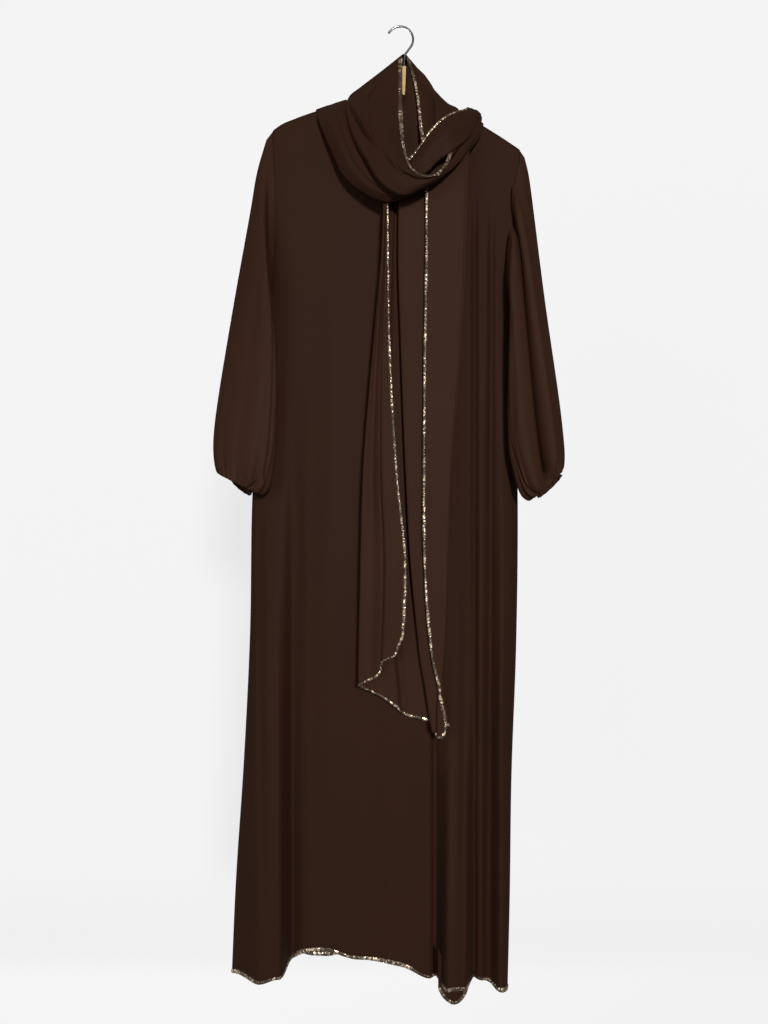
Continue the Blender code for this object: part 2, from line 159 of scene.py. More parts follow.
FRONT_HEM = table(
    "x z",
    (-267, -1508), (-246, -1503), (-224, -1498), (-202, -1490), (-187, -1490), (-175, -1488),
    (-167, -1483), (-154, -1474), (-132, -1471), (-107, -1473), (-82, -1481), (-47, -1484),
    (-15, -1490), (16, -1499), (45, -1513), (60, -1512), (72, -1506), (86, -1502), (102, -1506),
    (113, -1510), (126, -1511), (143, -1522), (164, -1524), (172, -1528),
)

BACK_HEM = table(
    "x z",
    (-267, -1508), (-240, -1512), (-200, -1509), (-154, -1507), (-107, -1509), (-47, -1515),
    (50, -1520), (172, -1528),
)

# Each fold runs from x at its top to x at the hem, reaches left_half and right_half to its sides,
# is flat for core on both sides of its middle, grows from start to full, stands height proud and
# leans to its right by a share of that.
FRONT_FOLDS = table(
    FOLD_COLUMNS,
    (-214, -214, 52, 44, 13, 54, 0.36, 1, 0.28),
    (-150, -128, 30, 30, 0, -4, 0.55, 0.95, 0),
    (99, 92, 36, 27, 12, 58, 0.62, 0.98, -0.12),
    (104, 104, 16, 16, 0, -5, 0.4, 0.7, 0),
    (132, 126, 11, 11, 1, 12, 0.14, 0.95, 0),
    (172, 168, 25, 24, 4, 44, 0.14, 1, -0.15),
)
BACK_FOLDS = table(
    FOLD_COLUMNS,
    (-150, -178, 44, 40, 0, 12, 0.1, 0.9, 0),
    (-60, -88, 36, 44, 0, 13, 0.16, 1, 0),
    (20, 0, 40, 34, 0, 11, 0.08, 0.85, 0),
    (80, 72, 30, 30, 0, 14, 0.2, 1, 0),
    (140, 132, 26, 30, 0, 11, 0.12, 0.9, 0),
)

# The inner layer of the right fold's pleat, which hangs lower than the fold.
HEM_TUCK = table(
    "x y foot",
    (59, -42, -1512), (65, -40, -1524), (74, -37, -1535), (84, -36, -1540), (94, -37, -1535),
    (102, -39, -1523), (106, -41, -1512),
)
TUCK_HEIGHT = 60.0

# Where the columns of the front lie, from its left seam at -1 to its right seam at 1.
FRONT_PLACES = table(
    PLACE_COLUMNS,
    (0, -1), (0.03, -0.995), (0.07, -0.975), (0.13, -0.9), (0.35, -0.44), (0.43, 0), (0.51, 0.13),
    (0.54, 0.24), (0.88, 0.9), (0.935, 0.975), (0.97, 0.995), (1, 1),
)
# The front's top edge is drawn up behind the hood's opening, beside the hanger's neck.
NECK_RISE = table(
    "x rise forward",
    (-14, 0, 0), (2, -1, 0), (10.4, -1, 0), (12, 60, -11.5), (14, 61, -11.5), (20, 51, -10),
    (30, 42, -8), (40, 33, -6), (50, 20, -4), (58, 6, -1), (66, 0, 0),
)
NECK_RISE_DOWN = 0.10
# Below the hanger's neck the cloth sinks in: middle, half width, depth and share of the way down.
NECK_HOLLOW = (6.5, 4.0, 8.5, 0.070)
BACK_PLACES = table(
    PLACE_COLUMNS,
    (0, -1), (0.04, -0.995), (0.08, -0.975), (0.14, -0.9), (0.86, 0.9), (0.92, 0.975),
    (0.96, 0.995), (1, 1),
)

# Each section of a sleeve lies between its outer end and its inner end, is twice half deep and
# leans its front towards the body.
LEFT_SLEEVE = table(
    SLEEVE_COLUMNS,
    (-213, 1, -180, -209, 2, -430, 15, 3, 0),
    (-228, 0, -234, -202, -26, -446, 18, 3, 0),
    (-239, 0, -300, -194, -34, -498, 20, 0, 0),
    (-265, 0, -444, -190, -36, -586, 22, 0, 0.03),
    (-288, -5, -589, -192, -37, -671, 24, 0, 0.12),
    (-295, -10, -661, -197, -39, -712, 25, 0, 0.35),
    (-291, -15, -704, -203, -40, -737, 24, 0, 0.8),
    (-281, -20, -717, -215, -37, -748, 22, 0, 1),
    (-257, -25, -717, -226, -31, -739, 15, 0, 0.7),
)
RIGHT_SLEEVE = table(
    SLEEVE_COLUMNS,
    (200, 1, -208, 181, 0, -448, 18, 17, 0),
    (207, 0, -240, 176, -26, -462, 20, 13, 0),
    (215, 0, -300, 171, -34, -506, 20, 5, 0),
    (233, 0, -444, 168, -36, -594, 22, 0, 0.03),
    (253, -5, -589, 169, -37, -671, 24, 0, 0.12),
    (260, -10, -661, 175, -39, -707, 25, 0, 0.35),
    (260, -15, -694, 187, -40, -746, 24, 0, 0.8),
    (256, -20, -709, 202, -37, -757, 22, 0, 1),
    (246, -25, -710, 208, -31, -744, 15, 0, 0.7),
)

# A stretch of the shayla lies between two edges, a and b, and bows out by crown between them.
WRAP = table(
    STRETCH_COLUMNS,
    (32, 41, -196, 26, 38, -146, 2),
    (-40, 42, -186, -34, 39, -134, 3),
    (-102, 27, -152, -74, 25, -119, 2),
    (-130, 2, -132.5, -84, 4, -114.5, 0),
    (-129, -15, -142, -84, -11, -125, 2),
    (-124, -26, -163, -73, -31, -160, 9),
    (-105, -36, -211, -60, -46, -207, 11),
    (-85, -42, -254, -40, -56, -243, 10),
    (-49, -51, -286, -18, -64, -272, 8),
    (-13, -60, -300, 12, -70, -281, 7),
    (27, -60, -287, 42, -69, -266, 5),
    (69, -56, -262, 80, -60, -240, 4),
    (102, -44, -222, 106, -42, -198, 3),
    (127, -22, -182, 112, -22, -158, 3),
    (131, -12, -164, 110, -11, -142, 1),
    (133, 2, -154.8, 108, 2, -137, 1),
    (124, 26, -178, 100, 28, -144, 4),
    (80, 47, -204, 70, 46, -152, 4),
    (0, 52, -206, 0, 50, -152, 3),
)
LEFT_FALL = table(
    STRETCH_COLUMNS,
    (4, -5, -50, 6.2, -0.7, -42.5, 0.6),
    (3, -12, -82, -32, -0.7, -73, 4),
    (3, -18, -113, -62, -0.7, -96, 8),
    (3, -29, -144, -79, -4, -112, 8),
    (4, -42, -176, -81, -38, -150, 9),
    (6, -56, -210, -70, -60, -196, 10),
    (12, -70, -242, -50, -74, -240, 9),
    (23, -80, -263, -28, -82, -278, 8),
    (40, -84, -271, 4, -86, -299, 7),
    (55, -84, -267, 36, -82, -288, 5),
    (67, -76, -250, 64, -78, -268, 3),
    (76, -66, -225, 90, -65, -240, 3),
    (89, -52, -199, 110, -50, -206, 3),
    (106, -31, -165, 124, -30, -175, 2),
    (108, -17, -141, 129, -16, -155, 2),
    (110, -1, -134.8, 131, 0, -142, 1),
)
RIGHT_FALL = table(
    STRETCH_COLUMNS,
    (11.5, -5, -50, 9.6, -0.7, -43, 0.6),
    (19.5, -12, -82, 36, -0.7, -74, 2),
    (25, -18, -110, 56.5, -0.7, -101, 4),
    (29, -23, -144, 76.5, -4, -123, 7),
    (32, -28, -178, 92, -16, -138, 6),
    (37, -34, -211, 97, -30, -162, 4),
    (41, -40, -232, 88, -40, -190, 3),
)
CROSS = table(
    STRETCH_COLUMNS,
    (111, 2, -130, 130, 2, -139, 3),
    (106, -20, -139, 127, -22, -149, 3),
    (100, -34, -148, 120, -37, -164, 3),
    (79, -58, -165, 106, -58, -198, 4),
    (60, -70, -182, 82, -72, -224, 4),
    (43, -70, -200, 58, -71, -241, 4),
    (28, -66, -220, 38, -72, -260, 3),
    (13, -61, -237, 14, -67, -264, 2),
    (-6, -54, -246, -10, -57, -262, 1),
)
HOOD_BACK = table(
    STRETCH_COLUMNS,
    (6.2, 1, -42.5, 9.8, 1, -43, 1.2),
    (-32, 1, -73, 36, 1, -74, 12),
    (-62, 1, -96, 56, 1, -101, 20),
    (-79, 4, -111, 75, 4, -122, 22),
    (-84, 16, -130, 88, 16, -142, 14),
    (-80, 22, -160, 84, 22, -172, 8),
)
# A folded edge turns in over a share of the sheet, at full size where the stretch is wide enough.
LIP_SHARE, LIP_WIDTH, LIP_ROUND = 0.14, 45.0, 0.2
# The point that each stretch bows away from.
NECK_CENTRE = (7.0, 6.0, -170.0)
FACE_CENTRE = (7.0, -150.0, -120.0)

# The shayla's hanging end: its two long edges fold to the front, and a pleat lies between them.
TAIL = table(
    "z left_edge left_fold pleat right_fold right_edge set_back",
    (-215, -19, -24, 4, 102.6, 40, 10),
    (-290, -19, -25, 2, 100, 39, 2.6),
    (-380, -18, -29, 1, 98, 39, 1),
    (-495, -16, -39, 4, 93, 37, 0),
    (-726, -3, -57, 12, 77, 35, 0),
    (-849, 9, -60, 18, 73, 36, 0),
    (-957, 6, -62, 28, 69, 43, 0),
    (-1005, 3, -63, 33, 66, 49, 0),
    (-1041, 2, -63, 39, 63, 58, 0),
    (-1070, 0, -63, 43, 58, 65.5, 0),
    (-1098, -2, -63, 47, 57, 71, 0),
    (-1122, -4, -63, 50, 58, 70, 0),
)
# The path of a section, as shares between the named places above, with its depth and its hem.
TAIL_PATH = table(
    "from_place to_place share depth hem",
    (0, 0, 0, -51.5, -966),
    (0, 1, 0.08, -50.5, -981),
    (0, 1, 0.16, -50.5, -996),
    (0, 1, 0.28, -51.5, -1001),
    (0, 1, 0.45, -50.5, -1007),
    (0, 1, 0.53, -48.5, -1026),
    (0, 1, 0.75, -51, -1034),
    (1, 1, 0, -49.5, -1043),
    (1, 1, -4, -43, -1047),
    (1, 2, 0.3, -35, -1062),
    (1, 2, 0.52, -36, -1078),
    (1, 2, 0.64, -31, -1091),
    (1, 2, 0.85, -30.5, -1098),
    (2, 2, -26, -31.5, -1107),
    (2, 2, -20, -37.5, -1108),
    (2, 2, -2, -42.5, -1106),
    (2, 2, 0, -47, -1115),
    (2, 3, 0.5, -48.5, -1116),
    (3, 3, 2, -49, -1120),
    (3, 3, 0, -54.5, -1122),
    (3, 4, 0.6, -57, -1120),
    (4, 4, 0, -57.5, -1110),
)
TAIL_PLACES = ("left_edge", "left_fold", "pleat", "right_fold", "right_edge")

# Finer creases that the body's folds carry. Each runs from x at its top to x at the hem, grows from
# start to full and dies away from fade to end.
FRONT_CREASES = table(
    PANEL_CREASE_COLUMNS,
    (119, 118, 8, 8, -4.5, 0.06, 0.16, 0.6, 0.8),
    (147, 142, 9, 9, -6, 0.06, 0.16, 1.1, 1.2),
    (56, 57, 11, 8, -7, 0.62, 0.72, 1.1, 1.2),
    (-165, -171, 17, 24, -9, 0.26, 0.62, 1.1, 1.2),
    (-224, -224, 11, 12, -3, 0.36, 0.55, 0.8, 0.95),
    (-95, -112, 22, 26, 1.6, 0.12, 0.4, 0.7, 0.95),
    (-20, -50, 30, 24, -1.6, 0.3, 0.6, 0.8, 1),
    (30, 20, 20, 26, 1.8, 0.62, 0.85, 1.1, 1.2),
)
BACK_CREASES = table(
    PANEL_CREASE_COLUMNS,
    (-120, -140, 8, 12, -3, 0.1, 0.3, 0.8, 1),
    (-20, -45, 10, 12, -3, 0.16, 0.5, 1.1, 1.2),
    (48, 40, 10, 8, -2.6, 0.1, 0.4, 0.85, 1.05),
    (112, 106, 7, 9, -3, 0.2, 0.5, 1.1, 1.2),
)
# Soft waves over the whole panel, with the distance between crests and their height.
RIPPLES = table(
    "spacing slant place height",
    (96, 14, 0.8, 0.9),
    (53, -22, 2.6, 0.5),
    (31, 9, 4.4, 0.22),
)
# They grow with the way down, from a start on.
RIPPLE_START, RIPPLE_GROWTH = 0.05, 0.5

# Small waves round the wrist. The casing's ruffles grow from a share of their size to all of it.
FINE_GATHERS = table("share count place", (0.022, 23, 1.1), (0.014, 37, 0.4))
RUFFLES = table("share count place first", (0.030, 31, 0.7, 0.35), (0.016, 47, 0, 0))

# The shares of a crease's length over which it rises at its start and sinks at its end.
SLEEVE_FADES, SOFT_FADE = (0.25, 0.15), 0.3

# Creases of a sleeve: u runs from the outer edge down the front to the inner edge and back.
LEFT_SLEEVE_CREASES = table(
    SLEEVE_CREASE_COLUMNS,
    (0.04, 0.82, 0.3, 0.29, 0.06, 3),
    (0.02, 0.75, 0.42, 0.4, 0.035, -3),
    (0.7, 0.98, 0.137, 0.137, 0.013, 2.2),
    (0.66, 0.97, 0.18, 0.19, 0.015, 2.4),
    (0.7, 0.99, 0.255, 0.245, 0.014, 2.4),
    (0.72, 1, 0.37, 0.24, 0.02, -4.5),
    (0.74, 1, 0.4, 0.27, 0.018, 2.6),
    (0.84, 1, 0.33, 0.3, 0.012, -2.4),
    (0.15, 0.9, 0.6, 0.62, 0.04, 3),
    (0.2, 0.98, 0.74, 0.72, 0.03, -3),
    (0.1, 0.95, 0.85, 0.86, 0.045, 3),
)
RIGHT_SLEEVE_CREASES = table(
    SLEEVE_CREASE_COLUMNS,
    (-0.3, 0.84, 0.225, 0.245, 0.027, -18),
    (0.62, 1.02, 0.25, 0.15, 0.022, -8),
    (-0.4, 0.92, 0.33, 0.325, 0.085, 8),
    (-0.6, 0.45, 0.42, 0.43, 0.08, 4),
    (-0.25, 0.82, 0.175, 0.195, 0.034, 9),
    (0.48, 0.99, 0.45, 0.33, 0.022, -6),
    (0.76, 1, 0.29, 0.29, 0.013, -3),
    (0.78, 1, 0.21, 0.205, 0.013, -3),
    (0.8, 1, 0.11, 0.11, 0.013, 2.4),
    (0.15, 0.9, 0.6, 0.62, 0.04, 3),
    (0.2, 0.98, 0.74, 0.72, 0.03, -3),
    (0.1, 0.95, 0.85, 0.86, 0.045, 3),
)

# Creases along a stretch of the shayla: u is 0 at its edge a and 1 at its edge b.
WRAP_CREASES = table(
    SOFT_CREASE_COLUMNS,
    (0.16, 0.6, 0.5, 0.46, 0.55, 0.16, -2.4),
    (0.44, 0.8, 0.35, 0.4, 0.55, 0.14, 2.2),
    (0.8, 1, 0.3, 0.5, 0.6, 0.12, -3),
)
LEFT_FALL_CREASES = table(
    SOFT_CREASE_COLUMNS,
    (0.22, 0.38, 0.98, 0.87, 0.72, 0.06, -7),
    (0.24, 0.5, 0.84, 0.66, 0.2, 0.07, 3.5),
    (0.3, 0.54, 0.7, 0.56, 0.16, 0.04, -2.5),
    (0.08, 0.34, 0.6, 0.68, 0.64, 0.11, -3),
    (0.4, 0.8, 0.5, 0.26, 0.62, 0.08, -12),
    (0.56, 0.84, 0.7, 0.5, 0.3, 0.06, -8),
)
RIGHT_FALL_CREASES = table(
    SOFT_CREASE_COLUMNS,
    (0.24, 0.8, 0.66, 0.38, 0.2, 0.05, 2.4),
    (0.24, 0.8, 0.78, 0.48, 0.28, 0.045, -3),
)
CROSS_CREASES = table(
    SOFT_CREASE_COLUMNS,
    (0.02, 0.2, 0.1, 0.5, 0.95, 0.3, -5),
    (0.3, 0.95, 0.55, 0.5, 0.45, 0.3, 1.6),
)
HOOD_BACK_CREASES = table(
    SOFT_CREASE_COLUMNS,
    (0.1, 0.95, 0.45, 0.36, 0.3, 0.06, -3),
    (0.1, 0.95, 0.55, 0.66, 0.72, 0.06, -3),
    (0.2, 0.95, 0.5, 0.52, 0.5, 0.1, 2),
)
TAIL_CREASES = table(
    SOFT_CREASE_COLUMNS,
    (0.4, 1.3, 0.236, 0.236, 0.236, 0.06, -4),
    (0.1, 0.8, 0.3, 0.29, 0.28, 0.03, 2),
    (-0.2, 1.1, 0.911, 0.911, 0.911, 0.007, 1.4),
    (0.55, 1.3, 0.52, 0.52, 0.52, 0.03, -3),
)


def pick(values, index):
    """The value at each index, from one shared row or from a row of its own."""
    if values.ndim == 1:
        return values[index]
    return np.take_along_axis(values, index[:, None], axis=1)[:, 0]


def smooth(keys, values, place):
    """A smooth curve through the values at the keys, read at each place."""
    place = np.asarray(place, float)
    slopes = np.gradient(values, keys, axis=-1)
    low = np.clip(np.searchsorted(keys, place) - 1, 0, len(keys) - 2)
    step = keys[low + 1] - keys[low]
    s = np.clip((place - keys[low]) / step, 0, 1)
    start, end = pick(values, low), pick(values, low + 1)
    into, out = pick(slopes, low) * step, pick(slopes, low + 1) * step
    return start + (end - start) * s * s * (3 - 2 * s) + s * (1 - s) * ((1 - s) * into - s * out)


def along(sections, share):
    """Every column of a table of sections, read at shares of the way from its first row to its last."""
    count = len(next(iter(sections.values())))
    keys = np.linspace(0, 1, count)
    return {name: smooth(keys, values, share) for name, values in sections.items()}


def at(sections, key, place, *columns):
    """The named columns, read where the key column has the given values."""
    order = slice(None) if sections[key][0] < sections[key][-1] else slice(None, None, -1)
    keys = sections[key][order]
    return [smooth(keys, sections[column][order], place) for column in columns]


def ease(share):
    """From 0 to 1 with a soft start and a soft end."""
    share = np.clip(share, 0, 1)
    return share * share * (3 - 2 * share)


def bell(away, left_half, right_half, core=0.0):
    """1 in the middle and out to core, and 0 from half away, with its own reach to each side."""
    half = np.where(away < 0, left_half, right_half) - core
    past = np.maximum(np.abs(away) - core, 0)
    return np.where(past < half, np.cos(0.5 * np.pi * past / half) ** 2, 0)


def fold_height(folds, x, down):
    """How far the folds stand out of a panel, and how far that moves them to the right."""
    total, moved = np.zeros_like(x), np.zeros_like(x)
    for top, foot, left_half, right_half, core, height, start, full, lean in zip(*folds.values()):
        away = x - top - (foot - top) * down
        proud = height * ease((down - start) / (full - start)) * bell(away, left_half, right_half, core)
        total += proud
        moved += lean * proud
    return total, moved


def crease_height(creases, x, down):
    """How far the finer creases and the soft waves stand out of a panel."""
    total = np.zeros_like(x)
    for top, foot, left_half, right_half, height, start, full, fade, end in zip(*creases.values()):
        away = x - top - (foot - top) * down
        grown = ease((down - start) / (full - start)) * (1 - ease((down - fade) / (end - fade)))
        total += height * grown * bell(away, left_half, right_half)
    for spacing, slant, place, height in zip(*RIPPLES.values()):
        wave = np.sin(2 * np.pi * (x + slant * down) / spacing + place + 3 * down)
        total += height * ease((down - RIPPLE_START) / RIPPLE_GROWTH) * wave
    return total


def seam_gap(down):
    """Half the gap between the front and the back: closed at the side seams, wide at the armholes."""
    gap = ARMHOLE_HALF * np.sin(np.pi * np.minimum(down / UNDERARM, 1.0))
    return np.maximum(gap, 0.0) - SEWN


def panel_height(x_share, down, hem):
    """Height on a panel, from the shoulder line to the hem."""
    top_x = SHOULDER_LINE["x"][0] + (SHOULDER_LINE["x"][-1] - SHOULDER_LINE["x"][0]) * x_share
    hem_x = hem["x"][0] + (hem["x"][-1] - hem["x"][0]) * x_share
    (top,) = at(SHOULDER_LINE, "x", top_x, "z")
    (foot,) = at(hem, "x", hem_x, "z")
    return top + (foot - top) * down


def body_point(places, face, folds, creases, hem, u, v):
    """Points of the front, where face is -1, or of the back, where it is 1."""
    across = np.interp(u, places["share"], places["place"])
    x_share = 0.5 + 0.5 * across
    length = panel_height(x_share, 0, hem) - panel_height(x_share, 1, hem)
    way = np.interp(v, (0, ROLL_ROWS, 1), (0, ROLL, 1))
    turn = np.pi / 2 * np.minimum(way / ROLL, 1)
    below_roll = np.maximum(way - ROLL, 0) / (1 - ROLL)
    fallen = SHOULDER_ROUND * (1 - np.cos(turn)) + (length - SHOULDER_ROUND) * below_roll**ROW_SPREAD
    down = fallen / length
    left, right, seam, front, back = at(BODY, "down", down, "left", "right", "seam", "front", "back")
    x = left + (right - left) * x_share
    depth = front if face < 0 else back
    in_neck = ease((x - NECK_LEFT) / NECK_END) * ease((NECK_RIGHT - x) / NECK_END)
    depth = depth + face * NECK_BOW * in_neck * (1 - ease(down / NECK_DOWN))
    below = ease(down / SHOULDER_DOWN)
    squareness = SHOULDER_SQUARENESS + (SIDE_SQUARENESS - SHOULDER_SQUARENESS) * below
    bulge = (1 - np.abs(across) ** squareness) ** (1 / squareness)
    edge = seam + face * seam_gap(down)
    proud, moved = fold_height(folds, x, down)
    proud += crease_height(creases, x, down)
    x = x + moved * bulge
    y = edge + (depth - edge + face * proud) * bulge
    rolled = face * SHOULDER_SEAM + (y - face * SHOULDER_SEAM) * np.sin(turn)
    return np.stack((x, rolled + (y - rolled) * in_neck, panel_height(x_share, down, hem)), axis=1)


def front_form(u, v):
    """Points of the front, with its top edge drawn up beside the hanger's neck and sunk below it."""
    points = body_point(FRONT_PLACES, -1, FRONT_FOLDS, FRONT_CREASES, FRONT_HEM, u, v)
    drawn = ease(1 - v / NECK_RISE_DOWN)
    points[:, 2] += drawn * np.interp(points[:, 0], NECK_RISE["x"], NECK_RISE["rise"])
    points[:, 1] -= drawn * np.interp(points[:, 0], NECK_RISE["x"], NECK_RISE["forward"])
    middle, half, depth, end = NECK_HOLLOW
    points[:, 1] += depth * ease(2 * (1 - v / end)) * bell(points[:, 0] - middle, half, half, half / 3)
    return points


def back_form(u, v):
    """Points of the back."""
    return body_point(BACK_PLACES, 1, BACK_FOLDS, BACK_CREASES, BACK_HEM, u, v)


def tuck_form(u, v):
    """Points of the pleat's inner layer that shows below the right fold's hem."""
    x = HEM_TUCK["x"][0] + (HEM_TUCK["x"][-1] - HEM_TUCK["x"][0]) * u
    foot, y = at(HEM_TUCK, "x", x, "foot", "y")
    return np.stack((x, y, foot + TUCK_HEIGHT * (1 - v)), axis=1)


def ends(row, first, second):
    """The two ends of each section, as points."""
    return tuple(np.stack([row[f"{end}{axis}"] for axis in "xyz"], axis=1) for end in (first, second))


def gather_wave(row, turn):
    """How the elastic's gathers swell and pinch a section."""
    wave = GATHER_SHARE * np.cos(GATHERS * turn)
    for share, count, place in zip(*FINE_GATHERS.values()):
        wave += share * np.cos(count * turn + place)
    return 1 + row["puff"] * wave


def sleeve_form(side, u, v):
    """Points of a sleeve: u runs from the top down the front and up the back, v from armhole to wrist."""
    sections, creases = SLEEVES[side]
    turn = 2 * np.pi * u
    under = (1 - np.cos(turn)) / 2
    down = UNDERARM * under
    x, seam = at(BODY, "down", down, side, "seam")
    outward = -1 if side == "left" else 1
    to_front = np.copysign(np.minimum(1, np.abs(np.sin(turn)) * ARMHOLE_CORNER), np.sin(turn))
    height = panel_height(np.full_like(down, 0.5 + 0.5 * outward), down, FRONT_HEM) - UNDERARM_DROP * under
    hole = np.stack((x - outward * SLEEVE_INSET * under, seam - seam_gap(down) * to_front, height), axis=1)
    share = np.clip((v - ARMHOLE_SHARE) / (1 - ARMHOLE_SHARE), 0, 1)
    row = along(sections, share)
    outer, inner = ends(row, "outer_", "inner_")
    wave = gather_wave(row, turn)
    along_axis = np.copysign(np.abs(np.cos(turn)) ** SLEEVE_ROUNDNESS, np.cos(turn))
    middle = (outer + inner) / 2
    even = wave / (1 + GATHER_SHARE * row["puff"])
    tube = middle + (outer - inner) / 2 * (along_axis * even)[:, None]
    tube[:, 0] -= outward * row["lean"] * np.maximum(np.sin(turn), 0)
    tube[:, 1] -= row["half"] * np.sin(turn) * wave
    away = tube - middle
    away /= np.linalg.norm(away, axis=1)[:, None]
    proud = np.zeros_like(u)
    for start, end, start_u, end_u, half, depth in zip(*creases.values()):
        place = (share - start) / (end - start)
        centre = start_u + (end_u - start_u) * np.clip(place, 0, 1)
        strength = ease(place / SLEEVE_FADES[0]) * ease((1 - place) / SLEEVE_FADES[1])
        proud += depth * strength * bell(u - centre, half, half)
    tube += away * proud[:, None]
    return hole + (tube - hole) * np.clip(v / ARMHOLE_SHARE, 0, 1)[:, None]


def cuff_form(side, u, v):
    """Points of the elastic casing that follows the sleeve's last section, with its small gathers."""
    sections, _ = SLEEVES[side]
    turn = 2 * np.pi * u
    row = along(sections, np.ones_like(u))
    outer, inner = ends(row, "outer_", "inner_")
    axis = (outer[0] - inner[0]) / np.linalg.norm(outer[0] - inner[0])
    way = np.cross(axis, (0, 1, 0))
    way = way / np.linalg.norm(way) * math.copysign(1, -way[2]) - (0, CUFF_TILT, 0)
    way /= np.linalg.norm(way)
    forward = np.cross(way, axis)
    forward = np.array((0, -1, 0)) + v[:, None] * (forward * math.copysign(1, -forward[1]) - (0, -1, 0))
    wave = 1 + row["puff"] * GATHER_SHARE * np.cos(GATHERS * turn)
    for share, count, place, first in zip(*RUFFLES.values()):
        wave += share * np.cos(count * turn + place) * (first + (1 - first) * v)
    wave *= CUFF_SHARE * (1 - CUFF_PINCH * np.sin(np.pi * np.clip(v / CUFF_PINCH_END, 0, 1)))
    points = (outer + inner) / 2 + (outer - inner) / 2 * (np.cos(turn) * wave)[:, None]
    points += forward * (row["half"] * np.sin(turn) * wave)[:, None]
    return points + way * (BODY_WALL / 2 + 2 * SEAM + CUFF_LENGTH * v)[:, None]


def stretch_form(name, u, v):
    """Points of one stretch of the shayla, bowed away from a centre, with its folded edges turned in."""
    sections, creases, centre, lip_a, lip_b = STRETCHES[name]
    step = 0.01
    low, high = LIP_SHARE * (lip_a > 0), 1 - LIP_SHARE * (lip_b > 0)
    across = np.clip((u - low) / (high - low), 0, 1)

    def between(share):
        row = along(sections, share)
        edge_a, edge_b = ends(row, "a", "b")
        return row, edge_a, edge_b, edge_a + (edge_b - edge_a) * across[:, None]

    row, edge_a, edge_b, points = between(v)
    ahead = between(np.minimum(v + step, 1))[3] - between(np.maximum(v - step, 0))[3]
    out = np.cross(edge_b - edge_a, ahead)
    out /= np.linalg.norm(out, axis=1)[:, None]
    out *= np.copysign(1, np.sum(out * (points - np.array(centre)), axis=1))[:, None]
    proud = row["crown"] * np.sin(np.pi * across)
    proud += soft_creases(creases, across, v)
    width = np.linalg.norm(edge_b - edge_a, axis=1)
    side = (edge_b - edge_a) / width[:, None]
    for lip, past, way in ((lip_a, low - u, -1), (lip_b, u - high, 1)):
        turned = np.clip(past / LIP_SHARE, 0, 1)
        size = lip * np.minimum(width / LIP_WIDTH, 1)
        proud -= size * (1 - np.cos(np.pi * turned)) / 2
        points = points + side * (way * LIP_ROUND * size * np.sin(np.pi * turned))[:, None]
    return points + out * proud[:, None]


def soft_creases(creases, u, v):
    """How far the creases along a stretch stand out, each on a bowed line from its start to its end."""
    proud = np.zeros_like(u)
    for start, end, start_u, middle_u, end_u, half, depth in zip(*creases.values()):
        place = np.clip((v - start) / (end - start), 0, 1)
        straight = start_u + (end_u - start_u) * place
        bow = (middle_u - (start_u + end_u) / 2) * 4 * place * (1 - place)
        strength = ease(place / SOFT_FADE) * ease((1 - place) / SOFT_FADE)
        proud += depth * strength * bell(u - straight - bow, half, half)
    return proud


def tail_form(u, v):
    """Points of the shayla's hanging end, with u along its folded section and v down."""
    count = len(TAIL_PATH["share"])
    keys = np.linspace(0, 1, count)
    hem = smooth(keys, TAIL_PATH["hem"], u)
    top = TAIL["z"][0]
    z = top + (hem - top) * v
    *places, set_back = at(TAIL, "z", z, *TAIL_PLACES, "set_back")
    path_x = []
    for start, end, share in zip(TAIL_PATH["from_place"], TAIL_PATH["to_place"], TAIL_PATH["share"]):
        if start == end:
            path_x.append(places[int(start)] - share)
        else:
            path_x.append(places[int(start)] + (places[int(end)] - places[int(start)]) * share)
    x = smooth(keys, np.stack(path_x, axis=1), u)
    y = smooth(keys, TAIL_PATH["depth"], u) + set_back
    y -= soft_creases(TAIL_CREASES, u, v)
    return np.stack((x, y, z), axis=1)


SLEEVES = {"left": (LEFT_SLEEVE, LEFT_SLEEVE_CREASES), "right": (RIGHT_SLEEVE, RIGHT_SLEEVE_CREASES)}
STRETCHES = {
    "wrap": (WRAP, WRAP_CREASES, NECK_CENTRE, 14, 0),
    "left_fall": (LEFT_FALL, LEFT_FALL_CREASES, NECK_CENTRE, 0, 13),
    "right_fall": (RIGHT_FALL, RIGHT_FALL_CREASES, NECK_CENTRE, 0, 0),
    "cross": (CROSS, CROSS_CREASES, NECK_CENTRE, 0, 8),
    "hood_back": (HOOD_BACK, HOOD_BACK_CREASES, FACE_CENTRE, 0, 0),
}


# Finishes


def new_group(name, inputs, outputs):
    """An empty shader node group with named inputs and outputs, each a colour or a number."""
    group = bpy.data.node_groups.new(name, "ShaderNodeTree")
    kinds = {True: "NodeSocketColor", False: "NodeSocketFloat"}
    for label, default in inputs.items():
        kind = kinds[isinstance(default, tuple)]
        group.interface.new_socket(name=label, in_out="INPUT", socket_type=kind).default_value = default
    for label in outputs:
        group.interface.new_socket(name=label, in_out="OUTPUT", socket_type=kinds[label == "Colour"])
    return group, group.nodes.new("NodeGroupInput"), group.nodes.new("NodeGroupOutput")


def feed(tree, target, inputs):
    """Set each named input of a node, or link it where its value is a socket."""
    for name, value in inputs.items():
        if isinstance(value, bpy.types.NodeSocket):
            tree.links.new(value, target.inputs[name])
        else:
            target.inputs[name].default_value = value


def add_node(tree, kind, inputs=None, **settings):
    """A node with its settings, and with each named input set or linked."""
    made = tree.nodes.new(kind)
    for name, value in settings.items():
        setattr(made, name, value)
    feed(tree, made, inputs or {})
    return made


def maths(tree, operation, first, second):
    return add_node(tree, "ShaderNodeMath", {0: first, 1: second}, operation=operation).outputs[0]


def scaled(tree, vector, scale):
    return add_node(tree, "ShaderNodeVectorMath", {0: vector, "Scale": scale}, operation="SCALE").outputs[0]


